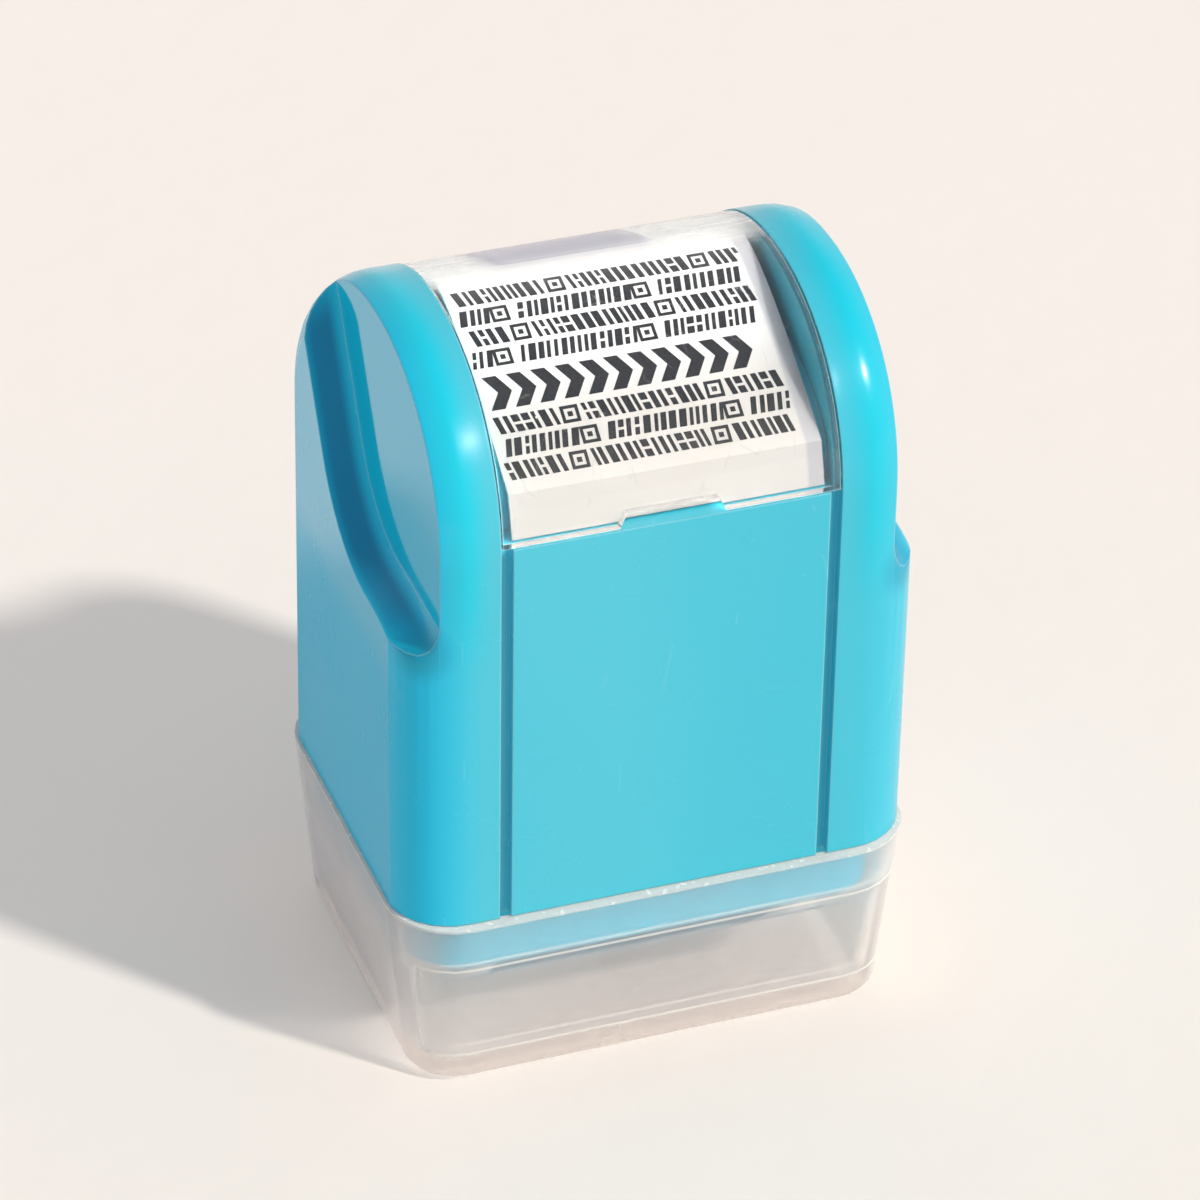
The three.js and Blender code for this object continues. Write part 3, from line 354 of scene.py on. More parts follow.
def blue_plastic(name, base, flow, pale, roughness, shell=False):
    """Glossy moulded plastic with faint flow marks, specks of dust, fine scratches and painted highlights
    along its sharp edges, and on the housing painted shade and sheen by zone.
    """
    material, g = new_material(name)
    flowing = g.ramp(g.noise(*FLOW_NOISE, g.place(FLOW_STRETCH)), *INNER)
    colour = g.mix(flowing, base, flow)
    coat, rounding = PLAIN_COAT, EDGE_ROUNDING
    dull = g.ramp(g.noise(*DULL_NOISE), *MIDDLE, *(roughness * part for part in DULL_SPREAD))
    if shell:
        zones = shell_zones(g)
        # Painted sheen: the front darkens towards the right
        colour = g.mix(zones["right"], colour, RIGHT_SHADE_BLUE)
        # Painted shade: deeper blue towards the sides, mostly on the shaded left
        side_shade = g.ramp(zones["across"], *SIDE_SHADE_SPAN)
        side_shade = g.times(side_shade, g.ramp(zones["right"], 0.0, 1.0, 1.0, SIDE_SHADE_LEAST))
        colour = g.mix(side_shade, colour, SIDE_SHADE_BLUE)
        colour = g.mix(zones["arm"], colour, ARM_BLUE)
        # Painted shade round each bank's front end, where the arm shades it
        colour = g.mix(zones["end"], colour, BANK_END_SHADE_BLUE)
        # Painted shade: the bank of each finger recess is darker, as shade in a recess
        colour = g.mix(zones["bank"], colour, BANK_SHADE_BLUE)
        plain = g.ramp(zones["across"], *PLAIN_COAT_SPAN, 0.0, PLAIN_COAT)
        coat = g.math("ADD", plain, g.times(zones["polish"], POLISHED_COAT))
        rounding = g.math("ADD", g.times(zones["end"], BANK_END_ROUNDING), EDGE_ROUNDING)
        for zone, gloss in (("bank", BANK_ROUGHNESS), ("mirror", MIRROR_ROUGHNESS)):
            change = g.math("SUBTRACT", gloss, dull)
            dull = g.math("ADD", dull, g.times(change, zones[zone]))
    dust = g.times(g.specks(*DUST), DUST_SHARE)
    marks = g.most(dust, g.times(g.hairlines(*SCRATCHES), SCRATCH_SHARE))
    # Painted highlights along the sharp edges, in the pale blue
    colour = g.mix(g.times(g.edges(EDGE_HIGHLIGHT_WIDTH), EDGE_HIGHLIGHT_SHARE), colour, pale)
    colour = g.mix(marks, colour, pale)
    dull = g.math("ADD", dull, g.times(marks, MARK_ROUGHNESS), clamp=True)
    smooth = g.rounded(rounding)
    if shell:
        smooth = g.bump(zones["arm"], ARM_CROWN, normal=smooth)
        smooth = g.leaning(g.times(zones["mirror"], RECESS_DRAFT), smooth)
    g.surface(
        g.principled(
            {
                "Base Color": colour,
                "Roughness": dull,
                "IOR": PLASTIC_IOR,
                "Specular IOR Level": 0.3,
                "Coat Weight": coat,
                "Coat Roughness": COAT_ROUGHNESS,
                "Coat Normal": smooth,
                "Normal": g.bump(g.noise(*GRAIN_NOISE), GRAIN_HEIGHT, 0.25, smooth),
            }
        )
    )
    return material


def lamp_through(g, shader, tint):
    """Lets the lamps' light pass a clear or milky wall, so that what is behind it is lit."""
    clear = g.add("ShaderNodeBsdfTransparent", {"Color": tint}).outputs[0]
    is_shadow = g.add("ShaderNodeLightPath").outputs["Is Shadow Ray"]
    return g.blend(is_shadow, shader, clear)


COVER_CLEAR = (0.97, 0.98, 0.985, 1)
COVER_LAMP_TINT = (0.95, 0.955, 0.96, 1)
COVER_GRAIN_NOISE = (300, 2.0)
COVER_GRAIN_HEIGHT = 0.01 * MM
COVER_EDGE_WIDTH = 0.12 * MM
COVER_EDGE_HIGHLIGHT_SHARE = 0.5
COVER_SCUFFS = (500, 0.12, 0.03)
COVER_SCRATCHES = (330, (0.3, 0, 0.9), 0.41)
COVER_SCRATCH_SHARE = 0.5
COVER_MARK_ROUGHNESS = 0.3
COVER_MARK_FROST = 0.15
# How far forward the light on the cover's frost leans, as it scatters in the scuffs
FROST_LEAN = 0.6
FROST_WHITE = (0.97, 0.97, 0.96, 1)
SHADE_LAVENDER = (0.60, 0.59, 0.67, 1)
# The crown of the cover, from its front to its back, with white streaks at both ends
CROWN_FRONT = (1.5 * MM, 3.5 * MM)
CROWN_BACK = (10 * MM, 8 * MM)
CROWN_MIDDLE = -1.5 * MM
CROWN_ENDS = (6 * MM, 9 * MM)
STREAK_NOISE = (2600, 2.0)
STREAK_STRETCH = (0.06, 1, 1)
STREAK_LEVELS = (0.5, 0.62)
STREAK_SHARES = (0.4, 0.8)
# A painted light over the front of the crown, where the card beneath turns from the sun
CROWN_LIGHT_FRONT = (0.3 * MM, 2.4 * MM)
CROWN_LIGHT_SHARE = 0.35
# A painted lavender shade in the middle of the crown, whose ends are slanted
SHADE_PATCH_FRONT = (3.0 * MM, 3.5 * MM)
SHADE_PATCH_SLANT = 0.3
SHADE_PATCH_LEFT = (-8.8 * MM, -5.2 * MM)
SHADE_PATCH_RIGHT = (6.8 * MM, 5.8 * MM)
SHADE_PATCH_SHARE = 0.5
SHADE_PATCH_COLOUR_SPAN = (0.1, 0.4)


def clear_plastic(name):
    """Clear polystyrene with a few scuffs, painted highlights along its edges, and on its crown a painted
    shade patch, painted light over its front and white streaks at both ends.
    """
    material, g = new_material(name)
    scratches = g.times(g.hairlines(*COVER_SCRATCHES), COVER_SCRATCH_SHARE)
    marks = g.most(scratches, g.specks(*COVER_SCUFFS))
    place = g.position()
    back = g.ramp(place[1], *CROWN_BACK)
    ends = g.ramp(g.distance(place[0], CROWN_MIDDLE), *CROWN_ENDS)
    streaks = g.ramp(g.noise(*STREAK_NOISE, g.place(STREAK_STRETCH)), *STREAK_LEVELS, *STREAK_SHARES)
    crown_streaks = g.times(g.ramp(place[1], *CROWN_FRONT), back, ends, streaks)
    # Painted light: white over the front of the crown
    crown_light = g.times(g.ramp(place[1], *CROWN_LIGHT_FRONT, 0.0, CROWN_LIGHT_SHARE), back)
    slant = g.math("ADD", place[0], g.times(place[1], SHADE_PATCH_SLANT))
    # Painted shade: a lavender patch in the middle of the crown
    shade_patch = g.times(
        g.ramp(place[1], *SHADE_PATCH_FRONT),
        back,
        g.ramp(slant, *SHADE_PATCH_LEFT),
        g.ramp(slant, *SHADE_PATCH_RIGHT),
        SHADE_PATCH_SHARE,
    )
    clear = g.principled(
        {
            "Base Color": COVER_CLEAR,
            "Roughness": g.times(marks, COVER_MARK_ROUGHNESS),
            "IOR": PLASTIC_IOR,
            "Transmission Weight": 1.0,
            "Normal": g.bump(
                g.noise(*COVER_GRAIN_NOISE), COVER_GRAIN_HEIGHT, 0.15, g.rounded(COVER_EDGE_WIDTH)
            ),
        }
    )
    # The frost is white, and lavender in the painted shade
    pale = g.mix(g.ramp(shade_patch, *SHADE_PATCH_COLOUR_SPAN), FROST_WHITE, SHADE_LAVENDER)
    frost = g.add("ShaderNodeBsdfDiffuse", {"Color": pale, "Normal": g.leaning(FROST_LEAN)}).outputs[0]
    # Painted highlights along the cover's edges, as white frost
    edges = g.times(g.edges(COVER_EDGE_WIDTH), COVER_EDGE_HIGHLIGHT_SHARE)
    share = g.most(edges, crown_streaks, shade_patch, g.times(marks, COVER_MARK_FROST), crown_light)
    g.surface(lamp_through(g, g.blend(share, clear, frost), COVER_LAMP_TINT))
    return material


CAP_CLEAR = (0.972, 0.992, 1.0, 1)
CAP_IOR = 1.2
CAP_PALE = (0.89, 0.88, 0.88, 1)
CAP_CLOUDY = (0.85, 0.84, 0.85, 1)
# Paler haze of the side walls, painted light that the walls carry
CAP_SIDE_LIGHT_PALE = (0.98, 0.93, 0.90, 1)
CAP_CREAM = (1.0, 0.97, 0.90, 1)
CAP_CLOUD_NOISE = (90, 3.0)
CAP_ROUGHNESS = (0.03, 0.06)
CAP_GRAIN_NOISE = (500, 2.0)
CAP_GRAIN_HEIGHT = 0.02 * MM
# How hazy the walls are, and how much more so at the left and right ends
CAP_HAZE = (0.27, 0.33)
CAP_END_HAZE = (0.15, 0.38)
CAP_END_SPAN = (-10 * MM, 10 * MM)
CAP_SIDE_FACING = (0.25, 0.9)
# Share of the haze's light that comes through the wall, at the front and at the sides
CAP_THROUGH = (0.55, 0.2)
# The pale, ragged top edge, its burrs real and its paleness painted light of the milky rim: how deep it
# reaches, and how its burrs come and go
CAP_RIM_DEPTHS = (0.3 * MM, 0.05 * MM)
CAP_BURR_NOISE = (1500, 3.0)
CAP_BURR_LEVELS = (0.58, 0.68)
CAP_BURR_SHARES = (0.6, 0.95)
# Painted pale lines of light in the cap's outer walls, and the middle of its rounded corners
CAP_LINE_LOW = 3.25 * MM
CAP_LINE_HIGH = 12.45 * MM
CAP_LINE_ANGLE = math.radians(36)
CAP_LINE_WIDTHS = (0.2 * MM, 0.05 * MM)
CAP_LIGHT_LINE_SHARE = 0.6
CAP_CORNER_X = 16.5 * MM
CAP_CORNER_Y = 11.9 * MM
CAP_OUTER = (8 * MM, 12 * MM)
# Light of the lamps that passes a wall, and what is left of it where it leaves the cap at the left or back
CAP_LAMP_TINT = (0.86, 0.85, 0.86, 1)
CAP_LEAVING_TINT = (0.16, 0.16, 0.165, 1)
CAP_LEAVING_LEFT = (8 * MM, 4 * MM)
CAP_LEAVING_BACK = (5 * MM, 3 * MM)


def cap_light_lines(g, place, outward):
    """Painted lines of light in the outer walls: one round each corner, and one above and one below on the
    long walls.
    """
    beyond_x = g.math("SUBTRACT", g.math("ABSOLUTE", place[0]), CAP_CORNER_X)
    beyond_y = g.math("SUBTRACT", g.math("ABSOLUTE", place[1]), CAP_CORNER_Y)
    turned = g.times(g.most(beyond_x, 0.0), math.sin(CAP_LINE_ANGLE), -1)
    corner = g.math("MULTIPLY_ADD", beyond_y, math.cos(CAP_LINE_ANGLE), turned)
    middle, reach = (CAP_LINE_LOW + CAP_LINE_HIGH) / 2, (CAP_LINE_HIGH - CAP_LINE_LOW) / 2
    between = g.math("COMPARE", place[2], middle, reach)
    light_lines = g.times(g.ramp(g.math("ABSOLUTE", corner), *CAP_LINE_WIDTHS), between)
    for level in (CAP_LINE_LOW, CAP_LINE_HIGH):
        line = g.ramp(g.distance(place[2], level), *CAP_LINE_WIDTHS)
        light_lines = g.most(light_lines, g.times(line, g.math("GREATER_THAN", corner, 0.0)))
    return g.times(light_lines, g.ramp(outward, *CAP_OUTER, 0.0, CAP_LIGHT_LINE_SHARE))


def milky_plastic(name):
    """Natural polypropylene: see-through, hazier in its side walls, whose haze is paler with painted light,
    and ragged along its top edge, with painted light there and in pale lines across its walls.
    """
    material, g = new_material(name)
    low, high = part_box("cap")
    cloud = g.noise(*CAP_CLOUD_NOISE)
    skin = g.bump(g.noise(*CAP_GRAIN_NOISE), CAP_GRAIN_HEIGHT, 0.15, g.rounded())
    clear = g.principled(
        {
            "Base Color": CAP_CLEAR,
            "Roughness": g.ramp(cloud, *MIDDLE, *CAP_ROUGHNESS),
            "IOR": CAP_IOR,
            "Transmission Weight": 1.0,
            "Normal": skin,
        }
    )
    place, facing = g.position(), g.facing()
    sideways = g.ramp(g.math("ABSOLUTE", facing[0]), *CAP_SIDE_FACING)
    # Painted light: the side walls' haze is paler and warmer
    pale = g.mix(sideways, g.mix(cloud, CAP_PALE, CAP_CLOUDY), CAP_SIDE_LIGHT_PALE)
    front = g.add("ShaderNodeBsdfDiffuse", {"Color": pale, "Normal": skin}).outputs[0]
    behind = g.add("ShaderNodeBsdfTranslucent", {"Color": pale, "Normal": skin}).outputs[0]
    haze = g.blend(g.ramp(sideways, 0.0, 1.0, *CAP_THROUGH), front, behind)
    extra = g.ramp(place[0], *CAP_END_SPAN, *CAP_END_HAZE)
    share = g.math("MULTIPLY_ADD", sideways, extra, g.ramp(cloud, *MIDDLE, *CAP_HAZE))
    body = g.blend(share, clear, haze)

    # The top edge: real burrs, and painted light of the milky rim, in cream
    rim = g.ramp(place[2], *(high.z - depth for depth in CAP_RIM_DEPTHS))
    rim = g.times(rim, g.ramp(g.noise(*CAP_BURR_NOISE), *CAP_BURR_LEVELS, *CAP_BURR_SHARES))
    outward = g.math("MULTIPLY_ADD", facing[0], place[0], g.times(facing[1], place[1]))
    # Painted lines of light in the walls
    light_lines = cap_light_lines(g, place, outward)
    cream = g.add("ShaderNodeBsdfDiffuse", {"Color": CAP_CREAM, "Normal": skin}).outputs[0]
    body = g.blend(g.most(rim, light_lines), body, cream)

    left = g.ramp(place[0], *(low.x + reach for reach in CAP_LEAVING_LEFT))
    back = g.ramp(place[1], *(high.y - reach for reach in CAP_LEAVING_BACK))
    from_outside = g.math("SUBTRACT", 1.0, g.add("ShaderNodeNewGeometry").outputs["Backfacing"])
    leaving = g.times(g.most(left, back), g.ramp(outward, *CAP_OUTER), from_outside)
    g.surface(lamp_through(g, body, g.mix(leaving, CAP_LAMP_TINT, CAP_LEAVING_TINT)))
    return material


CARD_WHITE = (0.615, 0.585, 0.56, 1)
CARD_BLOTCH = (0.59, 0.56, 0.53, 1)
CARD_FIBRE = (0.57, 0.545, 0.51, 1)
CARD_BLOTCH_NOISE = (140, 3.0)
CARD_FIBRE_NOISE = (2400, 4.0)
CARD_FIBRE_STRETCH = (1, 0.25, 0.25)
CARD_FIBRE_CONTRAST = 0.7
CARD_FIBRE_LEVELS = (0.62, 0.75)
CARD_FIBRE_HEIGHT = 0.03 * MM
CARD_ROUGHNESS = (0.75, 0.95)
# Painted light on the card towards the crown, where it turns from the sun: its colour and span
CARD_TOP_LIGHT = (0.95, 0.93, 0.93, 1)
CARD_TOP_LIGHT_SPAN = (-11 * MM, -2 * MM)
# Painted shadow of the right arm along the card's right edge: its colour, reach and share
CARD_BORDER_SHADOW = (0.36, 0.36, 0.42, 1)
CARD_BORDER_SHADOW_REACH = (1.5 * MM, 1.1 * MM)
CARD_BORDER_SHADOW_SHARE = 0.55
# How far the card's shading leans forward over the crown, where the folded card is slack
CARD_SLACK = 0.5
CARD_SLACK_SPAN = (-8 * MM, 2 * MM)


def paper(name):
    """Matt white card with fibres, with painted light towards the crown and a painted shadow along its right
    edge.
    """
    material, g = new_material(name)
    fibres = g.noise(*CARD_FIBRE_NOISE, g.place(CARD_FIBRE_STRETCH), CARD_FIBRE_CONTRAST)
    colour = g.mix(g.ramp(g.noise(*CARD_BLOTCH_NOISE), *MIDDLE), CARD_WHITE, CARD_BLOTCH)
    colour = g.mix(g.ramp(fibres, *CARD_FIBRE_LEVELS), colour, CARD_FIBRE)
    place = g.position()
    # Painted light: the card is lighter towards the crown
    colour = g.mix(g.ramp(place[1], *CARD_TOP_LIGHT_SPAN), colour, CARD_TOP_LIGHT)
    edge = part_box("label_card")[1].x
    # Painted shadow along the card's right edge
    border_shadow = g.ramp(place[0], *(edge - reach for reach in CARD_BORDER_SHADOW_REACH), 0.0, CARD_BORDER_SHADOW_SHARE)
    slack = g.leaning(g.ramp(place[1], *CARD_SLACK_SPAN, 0.0, CARD_SLACK))
    g.surface(
        g.principled(
            {
                "Base Color": g.mix(border_shadow, colour, CARD_BORDER_SHADOW),
                "Roughness": g.ramp(fibres, *MIDDLE, *CARD_ROUGHNESS),
                "IOR": 1.45,
                "Normal": g.bump(fibres, CARD_FIBRE_HEIGHT, 0.5, slack),
            }
        )
    )
    return material


INK_BLACK = (0.006, 0.006, 0.009, 1)
INK_WORN = (0.03, 0.03, 0.035, 1)


def ink(name):
    """Printed black that lets a little paper grain through."""
    material, g = new_material(name)
    grain = g.noise(3000, 3.0)
    g.surface(
        g.principled(
            {
                "Base Color": g.mix(g.ramp(grain, 0.55, 0.8), INK_BLACK, INK_WORN),
                "Roughness": g.ramp(grain, *MIDDLE, 0.6, 0.8),
                "Specular IOR Level": 0.25,
                "Normal": g.bump(grain, 0.01 * MM, 0.5),
            }
        )
    )
    return material


WHITE_PLASTIC = (0.78, 0.78, 0.75, 1)
WHITE_FLOW = (0.73, 0.73, 0.70, 1)
WHITE_ROUGHNESS = 0.42


def plain_plastic(name):
    """Satin white plastic of the rollers' hubs, rings and tubes."""
    material, g = new_material(name)
    dull = (WHITE_ROUGHNESS * 0.8, WHITE_ROUGHNESS * 1.2)
    g.surface(
        g.principled(
            {
                "Base Color": g.mix(g.ramp(g.noise(150, 3.0), *INNER), WHITE_PLASTIC, WHITE_FLOW),
                "Roughness": g.ramp(g.noise(400, 3.0), *MIDDLE, *dull),
                "Normal": g.bump(g.noise(1500, 2.0), 0.02 * MM, 0.4),
            }
        )
    )
    return material


SLEEVE_DARK = (0.014, 0.02, 0.075, 1)
SLEEVE_STAIN = (0.025, 0.035, 0.11, 1)


def rubber(name):
    """Dark inked rubber with stains."""
    material, g = new_material(name)
    grain = g.noise(2200, 4.0)
    g.surface(
        g.principled(
            {
                "Base Color": g.mix(g.ramp(g.noise(160, 3.0), *INNER), SLEEVE_DARK, SLEEVE_STAIN),
                "Roughness": g.ramp(grain, *MIDDLE, 0.5, 0.8),
                "Normal": g.bump(grain, 0.05 * MM, 0.5),
            }
        )
    )
    return material


FOAM_PORE = (0.006, 0.006, 0.01, 1)
FOAM_SKIN = (0.05, 0.05, 0.06, 1)


def foam(name):
    """Open foam soaked with ink."""
    material, g = new_material(name)
    pores = g.cells(2600)
    g.surface(
        g.principled(
            {
                "Base Color": g.mix(g.ramp(pores, 0.2, 0.6), FOAM_PORE, FOAM_SKIN),
                "Roughness": g.ramp(pores, 0.1, 0.6, 0.7, 1.0),
                "Normal": g.bump(pores, 0.25 * MM, 0.8),
            }
        )
    )
    return material


STEEL_LIGHT = (0.6, 0.61, 0.63, 1)
STEEL_DARK = (0.45, 0.46, 0.48, 1)


def steel(name):
    """Ground steel with turning marks round the pin."""
    material, g = new_material(name)
    turned = g.noise(3000, 2.0, g.place((1, 0.05, 0.05)))
    g.surface(
        g.principled(
            {
                "Base Color": g.mix(g.ramp(turned, *MIDDLE), STEEL_LIGHT, STEEL_DARK),
                "Metallic": 1.0,
                "Roughness": g.ramp(turned, *MIDDLE, 0.2, 0.36),
                "Normal": g.bump(turned, 0.01 * MM, 0.4),
            }
        )
    )
    return material


def floor_material():
    """Matt pale table top with slight drifts of colour."""
    material, g = new_material("floor_paint")
    drift = g.ramp(g.noise(3, 3.0), *MIDDLE)
    pale = (*FLOOR_COLOUR, 1)
    warm = (*(part * share for part, share in zip(FLOOR_COLOUR, FLOOR_DRIFT)), 1)
    table = g.principled(
        {
            "Base Color": g.mix(drift, pale, warm),
            "Roughness": g.ramp(g.noise(90, 4.0), *MIDDLE, 0.6, 0.8),
            "Specular IOR Level": 0.2,
            "Normal": g.bump(g.noise(160, 4.0), 0.4 * MM, 0.25),
        }
    )
    path = g.add("ShaderNodeLightPath").outputs
    seen = g.math("ADD", path["Is Camera Ray"], path["Is Glossy Ray"])
    seen = g.math("ADD", seen, path["Is Transmission Ray"], clamp=True)
    glow = {"Color": pale, "Strength": g.times(seen, FLOOR_GLOW)}
    glow = g.add("ShaderNodeEmission", glow).outputs[0]
    g.surface(g.add("ShaderNodeAddShader", {0: table, 1: glow}).outputs[0])
    return material


INK = ink("label_ink")
MATERIALS = {
    "cap_plastic": milky_plastic("cap_milky"),
    "shell_plastic": blue_plastic(
        "shell_blue", SHELL_BLUE, SHELL_FLOW_BLUE, SHELL_PALE_BLUE, SHELL_ROUGHNESS, shell=True
    ),
    "frame_plastic": blue_plastic(
        "frame_blue", FRAME_BLUE, FRAME_FLOW_BLUE, FRAME_PALE_BLUE, FRAME_ROUGHNESS
    ),
    "clear_plastic": clear_plastic("window_clear"),
    "paper": paper("label_paper"),
    "white_plastic": plain_plastic("roller_white"),
    "sleeve_rubber": rubber("sleeve_dark"),
    "foam": foam("foam_dark"),
    "steel": steel("axle_steel"),
}


def moulded_surface(name, planes=()):
    """Geometry nodes that join a solid's facets and shade them smooth, apart from its creases."""
    group = bpy.data.node_groups.new(name, "GeometryNodeTree")
    for way in ("INPUT", "OUTPUT"):
        group.interface.new_socket("Geometry", in_out=way, socket_type="NodeSocketGeometry")

    def add(kind, **settings):
        node = group.nodes.new(kind)
        for key, value in settings.items():
            setattr(node, key, value)
        return node

    def join(kind, operation, first, second, **settings):
        node = add(kind, operation=operation, **settings)
        for socket, value in zip(node.inputs, (first, second)):
            if isinstance(value, bpy.types.NodeSocket):
                group.links.new(value, socket)
            else:
                socket.default_value = value
        return node.outputs[0]

    start = add("NodeGroupInput")
    # A solid's stored normals go, as they keep its facets flat
    bare = add("GeometryNodeRemoveAttribute")
    bare.inputs["Name"].default_value = "custom_normal"
    joined = add("GeometryNodeMergeByDistance")
    joined.inputs["Distance"].default_value = MERGE_DISTANCE
    smooth = add("GeometryNodeSetShadeSmooth", domain="FACE")
    angle = add("GeometryNodeInputMeshEdgeAngle").outputs["Unsigned Angle"]
    sharp = join("ShaderNodeMath", "GREATER_THAN", angle, CREASE_ANGLE)
    if planes:
        place = add("ShaderNodeSeparateXYZ")
        group.links.new(add("GeometryNodeInputPosition").outputs[0], place.inputs[0])
        across = join("ShaderNodeMath", "ABSOLUTE", place.outputs[0], 0.0)
        faint = join("ShaderNodeMath", "GREATER_THAN", angle, FAINT_CREASE_ANGLE)
        for plane in planes:
            away = join("ShaderNodeMath", "SUBTRACT", across, plane)
            away = join("ShaderNodeMath", "ABSOLUTE", away, 0.0)
            on_plane = join("ShaderNodeMath", "LESS_THAN", away, PLANE_REACH)
            both = join("ShaderNodeMath", "MULTIPLY", faint, on_plane)
            sharp = join("ShaderNodeMath", "MAXIMUM", sharp, both)
    crease = add("GeometryNodeSetShadeSmooth", domain="EDGE")
    crease.inputs["Shade Smooth"].default_value = False
    end = add("NodeGroupOutput")
    link = group.links.new
    link(start.outputs[0], bare.inputs["Geometry"])
    link(bare.outputs[0], joined.inputs["Geometry"])
    link(joined.outputs[0], smooth.inputs["Geometry"])
    link(smooth.outputs[0], crease.inputs["Geometry"])
    link(sharp, crease.inputs["Selection"])
    link(crease.outputs[0], end.inputs[0])
    return group


def linked(name, data):
    """A new object with this data, in the scene."""
    item = bpy.data.objects.new(name, data)
    bpy.context.scene.collection.objects.link(item)
    return item


def mesh_object(name, points, faces, material):
    mesh = bpy.data.meshes.new(name)
    mesh.from_pydata([tuple(p) for p in points], [], faces)
    mesh.update()
    mesh.materials.append(material)
    return linked(name, mesh)


SMOOTHING = moulded_surface("moulded_surface")
SHELL_SMOOTHING = moulded_surface("shell_surface", (SIDE_FACE, RECESS_FLOOR))
for row in frame["record"]["subparts"]:
    node = nodes[row["node"]]
    node.data.materials.clear()
    node.data.materials.append(MATERIALS[row["material_slot"]])
    smoothing = node.modifiers.new("smoothing", "NODES")
    smoothing.node_group = SHELL_SMOOTHING if row["node"] == "housing_shell" else SMOOTHING
    node.modifiers.new("flats", "WEIGHTED_NORMAL").keep_sharp = True


# The label's print: rows of slanted strokes and tiles, with a bold band across the middle

PRINT_HEIGHT = 0.03 * MM
PRINT_SINK = 0.01 * MM
PRINT_STEP = 0.35 * MM
PRINT_START = 1.1 * MM
PRINT_ROWS = 9
PRINT_PITCH = 1.93 * MM
PRINT_ROW_SHARE = 0.76
PRINT_MARGIN_LEFT = 0.25 * MM
PRINT_MARGIN_RIGHT = 1.3 * MM
PRINT_SEED = 11

# A row starts up to so far beyond its margin, with so much of a tile's spacing behind it
ROW_SHIFT = 1.0 * MM
ROW_FIRST_TILE = 7 * MM
STROKE_LEAN = 0.32 * MM
STROKE_WIDTHS = (0.3 * MM, 0.38 * MM, 0.46 * MM, 0.6 * MM)
STROKE_GAPS = (0.22 * MM, 0.26 * MM, 0.32 * MM)
# Share of the strokes that are whole, and the share of the height that each part of a split one has
STROKE_WHOLE = 0.8
STROKE_PART = 0.42

# Square rings with a dot, their rims and dots as shares of their size
TILE_SPACING = 9.5 * MM
TILE_GAP = 0.3 * MM
TILE_RIM = 0.18
TILE_DOT = 0.28

BAND_ROWS = (3, 4)
BAND_MARGIN_LOW = 0.14 * MM
BAND_MARGIN_HIGH = 0.35 * MM
CHEVRON_START = 0.4 * MM
CHEVRON_WIDTH = 1.15 * MM
CHEVRON_LEAN = 0.95 * MM
CHEVRON_GAP = 0.85 * MM


class CardSurface:
    """The card's upper side as a strip: how far across, and how far up from its fold."""

    RAYS = 900
    REACH = 60 * MM
    FOLD_FACING = 0.3

    def __init__(self, node):
        mesh = nodes[node].data
        low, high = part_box(node)
        self.half_width = (high.x - low.x) / 2
        tree = BVHTree.FromPolygons(
            [v.co.copy() for v in mesh.vertices], [tuple(p.vertices) for p in mesh.polygons]
        )
        middle = Vector((0, 0, low.z))
        self.line = []
        for i in range(1, self.RAYS):
            angle = math.pi * i / self.RAYS
            out = Vector((0, -math.cos(angle), math.sin(angle)))
            hit, normal, _, _ = tree.ray_cast(middle + out * self.REACH, -out)
            if hit is not None:
                self.line.append((hit, normal))
        self.along = [0.0]
        for (a, _), (b, _) in zip(self.line, self.line[1:]):
            self.along.append(self.along[-1] + (b - a).length)
        turn = next(i for i, (_, normal) in enumerate(self.line) if normal.z > self.FOLD_FACING)
        self.fold = self.along[turn]

    def at(self, across, up, lift):
        """The point so far across and up from the fold, lifted off the card."""
        i = int(np.searchsorted(self.along, self.fold + up))
        i = min(max(i, 1), len(self.along) - 1)
        span = self.along[i] - self.along[i - 1]
        share = (self.fold + up - self.along[i - 1]) / span if span > 0 else 0
        (a, normal_a), (b, normal_b) = self.line[i - 1], self.line[i]
        spot = a.lerp(b, share)
        normal = normal_a.lerp(normal_b, share).normalized()
        spot = spot + normal * lift
        return Vector((across, spot.y, spot.z))


def printed_shape(card, outline_low, outline_high, bottom, top, points, faces):
    """A thin closed body over the card, between two edges given as across at its bottom and top."""
    steps = max(2, math.ceil((top - bottom) / PRINT_STEP))
    start = len(points)
    for lift in (-PRINT_SINK, PRINT_HEIGHT):
        for i in range(steps + 1):
            share = i / steps
            up = bottom + (top - bottom) * share
            left = outline_low[0] + (outline_low[1] - outline_low[0]) * share
            right = outline_high[0] + (outline_high[1] - outline_high[0]) * share
            points.append(card.at(left, up, lift))
            points.append(card.at(right, up, lift))
    upper = start + 2 * (steps + 1)
    for i in range(steps):
        a, b = start + 2 * i, start + 2 * i + 2
        c, d = upper + 2 * i, upper + 2 * i + 2
        faces.append((c, c + 1, d + 1, d))
        faces.append((a + 1, a, b, b + 1))
        faces.append((a, c, d, b))
        faces.append((c + 1, a + 1, b + 1, d + 1))
    faces.append((start, start + 1, upper + 1, upper))
    last, above = start + 2 * steps, upper + 2 * steps
    faces.append((last + 1, last, above, above + 1))


